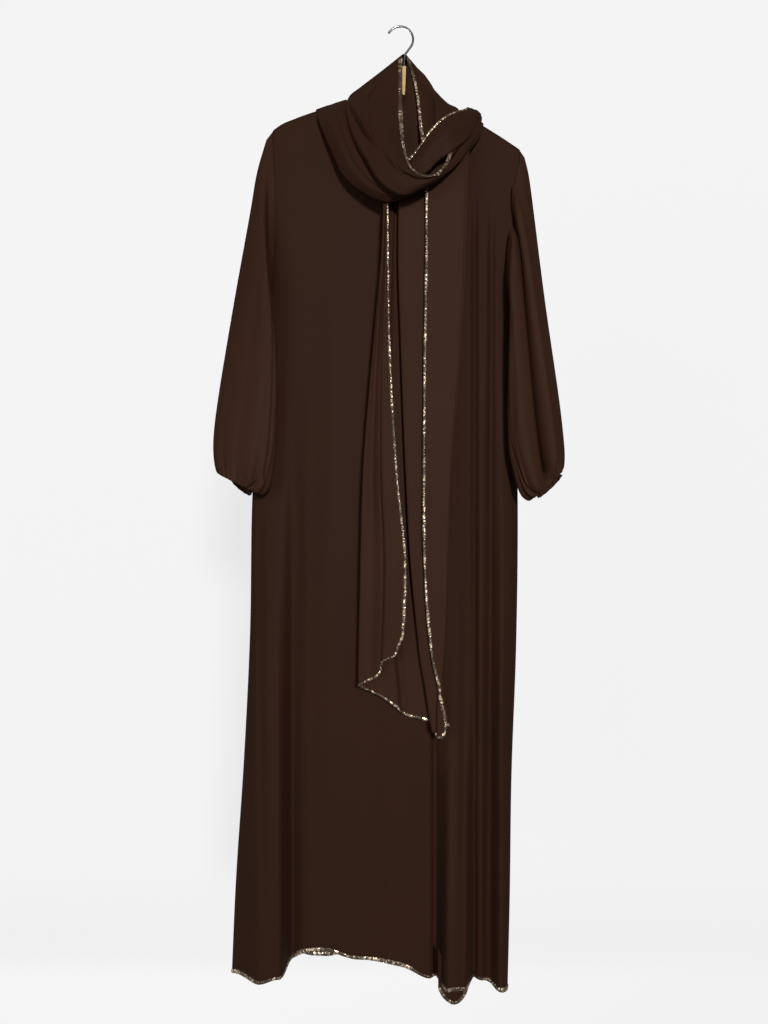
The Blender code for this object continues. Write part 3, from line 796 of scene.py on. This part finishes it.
def noise(tree, place, scale, detail, distortion=0.0):
    inputs = {"Vector": place, "Scale": scale, "Detail": detail, "Distortion": distortion}
    return add_node(tree, "ShaderNodeTexNoise", inputs).outputs[0]


def remap(tree, value, low, high, from_low=0.0, from_high=1.0):
    """A value moved from one range to the range from low to high."""
    inputs = {"Value": value, "From Min": from_low, "From Max": from_high, "To Min": low, "To Max": high}
    return add_node(tree, "ShaderNodeMapRange", inputs).outputs[0]


def mixed(tree, share, first, second):
    """A colour between two colours."""
    return add_node(tree, "ShaderNodeMix", {0: share, 6: first, 7: second}, data_type="RGBA").outputs[2]


def bumped(tree, height, strength, distance):
    inputs = {"Height": height, "Strength": strength, "Distance": distance}
    return add_node(tree, "ShaderNodeBump", inputs).outputs["Normal"]


def object_place(tree):
    return add_node(tree, "ShaderNodeTexCoord").outputs["Object"]


def thread_place(tree, size):
    """The place in the cloth's own UV, counted in threads or stitches of a size."""
    uv = add_node(tree, "ShaderNodeUVMap", uv_map="cloth").outputs["UV"]
    return scaled(tree, uv, maths(tree, "DIVIDE", 1.0, size))


def crepe_weave():
    """The node group of a crepe: pebbled threads in the cloth's own UV, and a soft change of tone."""
    found = bpy.data.node_groups.get("Crepe Weave")
    if found:
        return found
    inputs = {"Colour": (0.03, 0.015, 0.01, 1), "Thread": 0.0006, "Tone": 0.1}
    group, given, made = new_group("Crepe Weave", inputs, ("Colour", "Roughness", "Height"))
    colour, thread, tone = (given.outputs[name] for name in inputs)
    threads = thread_place(group, thread)
    pebble = noise(group, threads, 0.9, 2.0)
    wavy = {"Vector": threads, "Scale": 0.3, "Distortion": 3.0, "Detail": 1.0}
    warp = add_node(group, "ShaderNodeTexWave", wavy, bands_direction="X").outputs["Fac"]
    raised = add_node(group, "ShaderNodeMix", {0: 0.4, 2: pebble, 3: warp}, data_type="FLOAT")
    both = maths(group, "ADD", noise(group, object_place(group), 5.0, 3.0), pebble)
    low, high = maths(group, "SUBTRACT", 1.0, tone), maths(group, "ADD", 1.0, tone)
    outputs = {
        "Colour": scaled(group, colour, remap(group, both, low, high, 0.6, 1.4)),
        "Roughness": remap(group, pebble, 0.50, 0.66),
        "Height": raised.outputs[0],
    }
    feed(group, made, outputs)
    return group


def metal_thread():
    """The node group of a glittering overlocked edge: short bright and dark stitches, the bright ones partly
    metal colour and partly painted glints.
    """
    found = bpy.data.node_groups.get("Metal Thread")
    if found:
        return found
    inputs = {"Bright": (0.9, 0.75, 0.5, 1), "Dark": (0.06, 0.035, 0.02, 1), "Stitch": 0.0016}
    group, given, made = new_group("Metal Thread", inputs, ("Colour", "Metallic", "Roughness", "Height"))
    bright, dark, stitch = (given.outputs[name] for name in inputs)
    cells = {"Vector": thread_place(group, stitch), "Scale": 1.0, "Randomness": 0.9}
    glints = add_node(group, "ShaderNodeTexVoronoi", cells, voronoi_dimensions="2D")
    first, second, third = add_node(group, "ShaderNodeSeparateColor", {0: glints.outputs["Color"]}).outputs
    # Painted highlight: a broad noise makes the painted glints stronger or weaker in patches along the edge.
    painted_glint_patches = remap(group, noise(group, object_place(group), 28.0, 2.0), 0.15, 2.4, 0.36, 0.62)
    shown = maths(group, "MULTIPLY", maths(group, "POWER", first, 3.5), painted_glint_patches)
    outputs = {
        "Colour": mixed(group, shown, dark, bright),
        "Metallic": remap(group, first, 0.0, 0.7, 0.25, 0.60),
        "Roughness": remap(group, second, 0.15, 0.5),
        "Height": maths(group, "ADD", third, glints.outputs["Distance"]),
    }
    feed(group, made, outputs)
    return group


def finish(name):
    """A new material with its nodes and its shader."""
    made = bpy.data.materials.new(name)
    made.use_nodes = True
    return made, made.node_tree, made.node_tree.nodes["Principled BSDF"]


def cloth_finish(light=False):
    """Dull dark crepe with a faint sheen, in the body's tone or in a lighter copy whose extra brightness is
    painted light.
    """
    name = "crepe_painted_light" if light else "crepe"
    found = bpy.data.materials.get(name)
    if found:
        return found
    settings = bpy.context.scene.abaya_cloth
    made, tree, shader = finish(name)
    # Painted light: the lighter copy scales the colour up, standing in for the extra light that the sleeves,
    # cuffs and shayla's end catch.
    colour = [channel * (settings.lift if light else 1) for channel in settings.colour]
    inputs = {"Colour": (*colour, 1), "Thread": settings.thread, "Tone": settings.tone}
    weave = add_node(tree, "ShaderNodeGroup", inputs, node_tree=crepe_weave()).outputs
    looks = {
        "Base Color": weave["Colour"],
        "Roughness": weave["Roughness"],
        "Normal": bumped(tree, weave["Height"], 0.35, 0.0002),
        "Sheen Weight": settings.sheen,
        "Sheen Roughness": 0.45,
        "Sheen Tint": (1.0, 0.82, 0.72, 1),
        "Specular IOR Level": 0.04,
    }
    feed(tree, shader, looks)
    return made


def edging_finish():
    """Champagne-gold metal thread, with painted glints in its bright stitches."""
    found = bpy.data.materials.get("metal_thread")
    if found:
        return found
    settings = bpy.context.scene.abaya_edging
    made, tree, shader = finish("metal_thread")
    inputs = {"Bright": (*settings.bright, 1), "Dark": (*settings.dark, 1), "Stitch": settings.stitch}
    thread = add_node(tree, "ShaderNodeGroup", inputs, node_tree=metal_thread()).outputs
    looks = {
        "Base Color": thread["Colour"],
        "Metallic": thread["Metallic"],
        "Roughness": thread["Roughness"],
        "Normal": bumped(tree, thread["Height"], 0.8, 0.0006),
    }
    feed(tree, shader, looks)
    return made


def wood_finish():
    """Clear lacquered light wood, with its grain along the arms."""
    settings = bpy.context.scene.abaya_hanger
    made, tree, shader = finish("light_wood")
    stretch = {"Vector": object_place(tree), "Scale": (6.0, 60.0, 90.0)}
    turned = add_node(tree, "ShaderNodeMapping", stretch).outputs[0]
    grain = noise(tree, turned, 3.0, 6.0, 0.6)
    dark = tuple(0.6 * channel for channel in settings.wood)
    looks = {
        "Base Color": mixed(tree, grain, (*dark, 1), (*settings.wood, 1)),
        "Roughness": remap(tree, grain, 0.30, 0.45),
        "Normal": bumped(tree, grain, 0.2, 0.0004),
        "Coat Weight": 0.3,
    }
    feed(tree, shader, looks)
    return made


def wire_finish():
    """Bright wire with fine drawing marks along it, its metal colour darkened as a painted reflection of
    darker surroundings.
    """
    settings = bpy.context.scene.abaya_hanger
    made, tree, shader = finish("bright_wire")
    marks = noise(tree, object_place(tree), 700.0, 3.0)
    looks = {
        "Base Color": (*settings.wire, 1),
        "Metallic": 1.0,
        "Roughness": remap(tree, marks, 0.14, 0.30),
        "Normal": bumped(tree, marks, 0.1, 0.0001),
    }
    feed(tree, shader, looks)
    return made


# Making pieces


def shaped_grid(name, form, columns, rows, flat, tube=False):
    """A mesh of a grid shaped by form, with a UV map in metres across and along the cloth."""
    sheet = bmesh.new()
    sheet.loops.layers.uv.new("cloth")
    bmesh.ops.create_grid(sheet, x_segments=columns, y_segments=rows, size=0.5, calc_uvs=True)
    grid = np.array([vert.co[:2] for vert in sheet.verts])
    for vert, point in zip(sheet.verts, form(grid[:, 0] + 0.5, 0.5 - grid[:, 1]) * MM):
        vert.co = point
    if tube:
        bmesh.ops.remove_doubles(sheet, verts=sheet.verts, dist=0.01 * MM)
    mesh = bpy.data.meshes.new(name)
    sheet.to_mesh(mesh)
    sheet.free()
    uv = np.zeros(2 * len(mesh.loops), np.float32)
    mesh.uv_layers["cloth"].data.foreach_get("uv", uv)
    uv = uv.reshape(-1, 2) * flat
    mesh.uv_layers["cloth"].data.foreach_set("uv", uv.astype(np.float32).ravel())
    mesh.shade_smooth()
    return mesh


def add_piece(name, data, material):
    """A piece of the garment that rides on the hung body."""
    piece = bpy.data.objects.new(name, data)
    bpy.context.scene.collection.objects.link(piece)
    data.materials.append(material)
    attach(piece, "root")
    return piece


def sewn_cloth(name, form, columns, rows, flat, node, tube=False, light=False):
    """A thin shell of crepe on a panel's form, that stands for its solid."""
    # Where light is set, the crepe is the lighter copy that carries painted light.
    piece = add_piece(name, shaped_grid(name, form, columns, rows, flat, tube), cloth_finish(light))
    thicken = piece.modifiers.new("Cloth", "SOLIDIFY")
    thicken.thickness = bpy.context.scene.abaya_cloth.thickness
    thicken.offset = 0
    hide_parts(node)
    return piece


def edge_points(form, edge, share, inward):
    """Points of a cloth's left, right or lower edge, or of a line inward from it."""
    side = np.full_like(share, inward)
    if edge == "left":
        return form(side, share)
    if edge == "right":
        return form(1 - side, share)
    return form(share, 1 - side)


def edging_size(away, length):
    """How full the edging is along its length: round ends, lumps of stitches and slow swells."""
    full = np.clip(np.minimum(away, length - away) / 2.0, 0, 1) ** 0.5
    lumps = 1 + 0.10 * np.sin(away * 2.1) * np.sin(away * 0.63 + 1.0) + 0.06 * np.sin(away * 3.7 + 2.0)
    return full * lumps * (1 + 0.14 * np.sin(away * 0.047 - 0.4) + 0.10 * np.sin(away * 0.021 + 0.4))


def add_edging(name, form, edge, start=0.0, end=1.0, wide=1.0):
    """A rolled edge of metal thread over a cloth's edge, from one share of it to another."""
    settings = bpy.context.scene.abaya_edging
    path = edge_points(form, edge, np.linspace(start, end, EDGING_SAMPLES), 0.0)
    length = float(np.linalg.norm(np.diff(path, axis=0), axis=1).sum())
    half_width, half_thick = wide * settings.width / MM / 2, settings.thickness / MM / 2

    def tube(u, v):
        share = start + (end - start) * (1 - v)
        centre = edge_points(form, edge, share, 0.0)
        inner = edge_points(form, edge, share, EDGING_REACH)
        step = 0.002
        ahead = edge_points(form, edge, np.minimum(share + step, 1), 0.0)
        ahead -= edge_points(form, edge, np.maximum(share - step, 0), 0.0)
        ahead /= np.linalg.norm(ahead, axis=1)[:, None]
        inward = inner - centre
        inward -= ahead * np.sum(ahead * inward, axis=1)[:, None]
        inward /= np.linalg.norm(inward, axis=1)[:, None]
        normal = np.cross(ahead, inward)
        turn = 2 * np.pi * u
        size = edging_size(v * length, length)
        centre += inward * half_width * EDGING_INWARD
        centre += inward * (half_width * np.cos(turn) * size)[:, None]
        return centre + normal * (half_thick * np.sin(turn) * size)[:, None]

    flat = ((half_width + half_thick) * math.pi * MM, length * MM)
    mesh = shaped_grid(name, tube, EDGING_ROUND, int(length / EDGING_STEP), flat, tube=True)
    return add_piece(name, mesh, edging_finish())


# Settings


class ClothSettings(bpy.types.PropertyGroup):
    """The crepe of the abaya and the shayla."""

    colour: bpy.props.FloatVectorProperty(
        name="Colour", description="Colour of the crepe", subtype="COLOR", size=3, min=0, max=1,
        default=(0.0290, 0.0122, 0.0070),
    )
    # Painted light: this lightens the crepe of the sleeves, cuffs and shayla's end, standing in for the extra
    # light they catch.
    lift: bpy.props.FloatProperty(
        name="Lift", description="How much lighter the sleeves and the shayla's end are", default=1.28,
        min=0.5, max=2,
    )
    thickness: bpy.props.FloatProperty(
        name="Thickness", description="Thickness of the shown cloth", unit="LENGTH", default=0.0009,
        min=0.0003, max=0.003,
    )
    thread: bpy.props.FloatProperty(
        name="Thread", description="Distance between two threads of the crepe", unit="LENGTH", default=0.0006,
        min=0.0002, max=0.003,
    )
    tone: bpy.props.FloatProperty(
        name="Tone", description="Share by which the colour changes over the cloth", subtype="FACTOR",
        default=0.1, min=0, max=0.5,
    )
    sheen: bpy.props.FloatProperty(
        name="Sheen", description="Strength of the crepe's sheen", subtype="FACTOR", default=0.01,
        min=0, max=1,
    )


class EdgingSettings(bpy.types.PropertyGroup):
    """The glittering edge of the hem and the shayla."""

    # The bright colour is partly the metal thread's own and partly painted glints.
    bright: bpy.props.FloatVectorProperty(
        name="Bright", description="Colour of the metal thread", subtype="COLOR", size=3, min=0, max=1,
        default=(1.0, 0.80, 0.55),
    )
    dark: bpy.props.FloatVectorProperty(
        name="Dark", description="Colour of the sewing thread under it", subtype="COLOR", size=3,
        min=0, max=1, default=(0.05, 0.030, 0.018),
    )
    width: bpy.props.FloatProperty(
        name="Width", description="Width of the edging", unit="LENGTH", default=0.0050, min=0.001, max=0.02
    )
    thickness: bpy.props.FloatProperty(
        name="Thickness", description="Thickness of the edging", unit="LENGTH", default=0.0030,
        min=0.001, max=0.01,
    )
    stitch: bpy.props.FloatProperty(
        name="Stitch", description="Size of one glint of the thread", unit="LENGTH", default=0.0026,
        min=0.0005, max=0.01,
    )


class HangerSettings(bpy.types.PropertyGroup):
    """The hanger's wood and wire."""

    wood: bpy.props.FloatVectorProperty(
        name="Wood", description="Colour of the light wood", subtype="COLOR", size=3, min=0, max=1,
        default=(0.80, 0.52, 0.22),
    )
    # The wire's colour is darkened below that of bright metal, a painted reflection of darker surroundings.
    wire: bpy.props.FloatVectorProperty(
        name="Wire", description="Colour of the hook's metal", subtype="COLOR", size=3, min=0, max=1,
        default=(0.36, 0.37, 0.38),
    )


class StageSettings(bpy.types.PropertyGroup):
    """The plain wall, floor and light."""

    wall: bpy.props.FloatVectorProperty(
        name="Wall", description="Colour of the wall and floor", subtype="COLOR", size=3, min=0, max=1,
        default=(0.17, 0.17, 0.17),
    )
    wall_gap: bpy.props.FloatProperty(
        name="Wall gap", description="Distance from the garment's back to the wall", unit="LENGTH",
        default=1.0, min=0, max=3,
    )
    glow: bpy.props.FloatProperty(
        name="Glow", description="Light of the wall's own, as of a lit backdrop", default=0.74, min=0, max=2
    )
    drop: bpy.props.FloatProperty(
        name="Drop", description="Distance from the hem to the floor", unit="LENGTH", default=0.42,
        min=0, max=2,
    )
    surround: bpy.props.FloatProperty(
        name="Surround", description="Strength of the light from all round", default=0.16, min=0, max=10
    )
    key: bpy.props.FloatProperty(
        name="Key", description="Power of the large soft light at the upper right", unit="POWER",
        default=550.0, min=0, max=5000,
    )
    fill: bpy.props.FloatProperty(
        name="Fill", description="Power of the soft light at the left", unit="POWER", default=52.0,
        min=0, max=1000,
    )
    back: bpy.props.FloatProperty(
        name="Back", description="Power of the soft light behind the garment", unit="POWER", default=450.0,
        min=0, max=5000,
    )


# Pieces


class ABAYA_OT_body(bpy.types.Operator):
    """Sew the front and the back, with the edging round their hem"""

    bl_idname = "abaya.body"
    bl_label = "Body"
    bl_options = {"REGISTER", "UNDO"}

    def execute(self, context):
        panels = (
            ("front_panel", front_form, 240, 160, (0.66, 1.40), 0.68, "body_front"),
            ("back_panel", back_form, 120, 150, (0.51, 1.40), 0.63, "body_back"),
        )
        for name, form, columns, rows, flat, area, node in panels:
            panel = sewn_cloth(name, form, columns, rows, flat, node)
            trims = [add_edging(f"{name}_edging", form, "foot", wide=1.3)]
            if name == "front_panel":
                data = shaped_grid("hem_tuck", tuck_form, 24, 16, (0.055, 0.06))
                trims.append(add_piece("hem_tuck", data, cloth_finish()))
                trims.append(add_edging("hem_tuck_edging", tuck_form, "foot"))
        return {"FINISHED"}


class ABAYA_OT_sleeves(bpy.types.Operator):
    """Sew both sleeves, gathered at the wrist"""

    bl_idname = "abaya.sleeves"
    bl_label = "Sleeves"
    bl_options = {"REGISTER", "UNDO"}

    def execute(self, context):
        flat = (0.48, 0.55)
        for side in SLEEVES:
            form, node = partial(sleeve_form, side), f"sleeve_{side}"
            sleeve = sewn_cloth(f"{side}_sleeve", form, 200, 110, flat, node, tube=True, light=True)
        return {"FINISHED"}


class ABAYA_OT_cuffs(bpy.types.Operator):
    """Sew the narrow elastic casings at both wrists"""

    bl_idname = "abaya.cuffs"
    bl_label = "Cuffs"
    bl_options = {"REGISTER", "UNDO"}

    def execute(self, context):
        flat = (0.14, 0.0115)
        for side in SLEEVES:
            form, node = partial(cuff_form, side), f"cuff_{side}"
            cuff = sewn_cloth(f"{side}_cuff", form, 320, 10, flat, node, tube=True, light=True)
        return {"FINISHED"}


class ABAYA_OT_shayla(bpy.types.Operator):
    """Wind the shayla's rings and its hood"""

    bl_idname = "abaya.shayla"
    bl_label = "Shayla"
    bl_options = {"REGISTER", "UNDO"}

    def execute(self, context):
        inner_ring = "shayla_left_fall_cloth"
        # An edging goes on an edge, from one share of its length to another, and may be wider.
        stretches = (
            ("wrap", 70, 200, (0.07, 0.80), 0.043, (), ["front_panel", "back_panel"]),
            ("left_fall", 110, 170, (0.11, 0.52), 0.033, (("left", 0.0, 0.93, 1.3),), ["hanger_hook"]),
            ("right_fall", 60, 90, (0.076, 0.186), 0.0085, (("left", 0.0, 1.0),), ["hanger_hook"]),
            ("cross", 70, 90, (0.052, 0.228), 0.0096, (("left", 0.0, 1.0, 0.75),), [inner_ring]),
            ("hood_back", 80, 80, (0.176, 0.14), 0.0159, (), ["hanger_hook"]),
        )
        for name, columns, rows, flat, area, edges, rests_on in stretches:
            form = partial(stretch_form, name)
            piece = sewn_cloth(f"shayla_{name}_cloth", form, columns, rows, flat, f"shayla_{name}")
            trims = [add_edging(f"shayla_{name}_edging", form, *edge) for edge in edges]
        return {"FINISHED"}


class ABAYA_OT_shayla_end(bpy.types.Operator):
    """Hang the shayla's end down the front, with its edging on three sides"""

    bl_idname = "abaya.shayla_end"
    bl_label = "Shayla end"
    bl_options = {"REGISTER", "UNDO"}

    def execute(self, context):
        flat = (0.33, 0.91)
        piece = sewn_cloth("shayla_end", tail_form, 260, 145, flat, "shayla_tail", light=True)
        edges = (
            ("left", "left", 0.0, 1.0),
            ("right", "right", 0.0, 1.0),
            ("foot", "foot", 0.0, 0.68),
            ("tip", "foot", 0.81, 1.0),
        )
        trims = [add_edging(f"shayla_end_{label}_edging", tail_form, *edge, 0.92) for label, *edge in edges]
        return {"FINISHED"}


class ABAYA_OT_hanger(bpy.types.Operator):
    """Finish the hanger's wood and bend its wire hook"""

    bl_idname = "abaya.hanger"
    bl_label = "Hanger"
    bl_options = {"REGISTER", "UNDO"}

    def execute(self, context):
        body = bpy.data.objects["hanger_body"]
        wood = wood_finish()
        for slot in body.material_slots:
            slot.material = wood
        wire = bpy.data.curves.new("hook_wire", "CURVE")
        wire.dimensions = "3D"
        wire.bevel_depth = WIRE / 2 * MM
        wire.bevel_resolution = 6
        wire.use_fill_caps = True
        centre_z = WIRE / 2 - HOOK_RADIUS
        points = []
        for turn in np.radians(np.linspace(*HOOK_ARC)):
            x, z = HOOK_RADIUS * math.cos(turn), HOOK_RADIUS * math.sin(turn)
            points.append((HOOK_CENTRE_X + x, centre_z + z))
        points += [*HOOK_STEM, (NECK_MIDDLE, NECK_TOP + SEAM)]
        line = wire.splines.new("POLY")
        line.points.add(len(points) - 1)
        for place, (x, z) in zip(line.points, points):
            place.co = (x * MM, 0, z * MM, 1)
        line.use_smooth = True
        hook = add_piece("hook_wire", wire, wire_finish())
        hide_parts("hanger_hook")
        return {"FINISHED"}


class ABAYA_OT_stage(bpy.types.Operator):
    """Set up the wall, the floor, the soft lights and the camera"""

    bl_idname = "abaya.stage"
    bl_label = "Stage"
    bl_options = {"REGISTER", "UNDO"}

    def execute(self, context):
        settings = context.scene.abaya_stage
        low, high = (np.array(corner) for corner in CAD_BOX)
        wall_y, floor_z = high[1] + settings.wall_gap, low[2] - settings.drop
        width, height, reach, bend = 12.0, 2.4, 5.0, 0.3
        turns = np.linspace(0, math.pi / 2, 14)
        path_y = np.concatenate(([wall_y], wall_y - bend * (1 - np.cos(turns)), [-reach]))
        path_z = np.concatenate(([height], floor_z + bend * (1 - np.sin(turns)), [floor_z]))

        def sweep(u, v):
            share = v * (len(path_y) - 1)
            steps = np.arange(len(path_y))
            y, z = np.interp(share, steps, path_y), np.interp(share, steps, path_z)
            return np.stack(((u - 0.5) * width, y, z), axis=1) / MM

        mesh = shaped_grid("studio_sweep", sweep, 2, len(path_y) - 1, (width, reach))
        wall = bpy.data.objects.new("studio_sweep", mesh)
        context.scene.collection.objects.link(wall)
        made, tree, shader = finish("pale_paint")
        looks = {
            "Base Color": (*settings.wall, 1),
            "Roughness": 0.9,
            "Emission Color": (1, 1, 1, 1),
            "Emission Strength": settings.glow,
        }
        feed(tree, shader, looks)
        clear = add_node(tree, "ShaderNodeBsdfTransparent").outputs[0]
        behind = add_node(tree, "ShaderNodeNewGeometry").outputs["Backfacing"]
        mix = add_node(tree, "ShaderNodeMixShader", {0: behind, 1: shader.outputs[0], 2: clear})
        feed(tree, tree.nodes["Material Output"], {"Surface": mix.outputs[0]})
        mesh.materials.append(made)
        wall.visible_diffuse = wall.visible_glossy = wall.visible_shadow = False
        world = bpy.data.worlds.new("soft_room")
        world.use_nodes = True
        soft = {"Color": (1, 1, 1, 1), "Strength": settings.surround}
        feed(world.node_tree, world.node_tree.nodes["Background"], soft)
        context.scene.world = world
        for name, power, size, place in (
            ("key_light", settings.key, 1.0, (1.45, -8.2, 0.95)),
            ("fill_light", settings.fill, 3.0, (-3.0, -3.6, -0.6)),
            ("back_light", settings.back, 3.0, (-1.4, 6.5, 0.6)),
        ):
            light = bpy.data.lights.new(name, "AREA")
            light.energy = power
            light.size = size
            lamp = bpy.data.objects.new(name, light)
            lamp.location = place
            x, y, z = np.array(LIT_POINT) - np.array(place)
            lamp.rotation_euler = (math.atan2(math.hypot(x, y), -z), 0, math.atan2(-x, y))
            context.scene.collection.objects.link(lamp)
        lens = bpy.data.cameras.new("camera")
        lens.sensor_width = SENSOR
        lens.lens = SENSOR / 2 / (HALF_VIEW / -CAMERA[1])
        camera = bpy.data.objects.new("camera", lens)
        camera.location = CAMERA
        camera.rotation_euler = (math.pi / 2, 0, 0)
        context.scene.collection.objects.link(camera)
        context.scene.camera = camera
        context.scene.view_settings.view_transform = "Standard"
        return {"FINISHED"}


class ABAYA_PT_panel(bpy.types.Panel):
    """Lists the garment's pieces and their settings."""

    bl_label = "Abaya"
    bl_idname = "ABAYA_PT_panel"
    bl_space_type = "VIEW_3D"
    bl_region_type = "UI"
    bl_category = "Abaya"

    def draw(self, context):
        for setting in SETTINGS:
            group = getattr(context.scene, setting)
            box = self.layout.box()
            for name in group.__annotations__:
                box.prop(group, name)
        for operator in OPERATORS:
            self.layout.operator(operator.bl_idname)


SETTINGS = {
    "abaya_cloth": ClothSettings,
    "abaya_edging": EdgingSettings,
    "abaya_hanger": HangerSettings,
    "abaya_stage": StageSettings,
}
OPERATORS = (
    ABAYA_OT_body,
    ABAYA_OT_sleeves,
    ABAYA_OT_cuffs,
    ABAYA_OT_shayla,
    ABAYA_OT_shayla_end,
    ABAYA_OT_hanger,
    ABAYA_OT_stage,
)


def register():
    for name, group in SETTINGS.items():
        bpy.utils.register_class(group)
        setattr(bpy.types.Scene, name, bpy.props.PointerProperty(type=group))
    for cls in (*OPERATORS, ABAYA_PT_panel):
        bpy.utils.register_class(cls)


def unregister():
    for cls in reversed((*OPERATORS, ABAYA_PT_panel)):
        bpy.utils.unregister_class(cls)
    for name, group in reversed(SETTINGS.items()):
        delattr(bpy.types.Scene, name)
        bpy.utils.unregister_class(group)


def main():
    register()
    bpy.ops.abaya.body()
    bpy.ops.abaya.sleeves()
    bpy.ops.abaya.cuffs()
    bpy.ops.abaya.shayla()
    bpy.ops.abaya.shayla_end()
    bpy.ops.abaya.hanger()
    bpy.ops.abaya.stage()


if __name__ == "__main__":
    main()
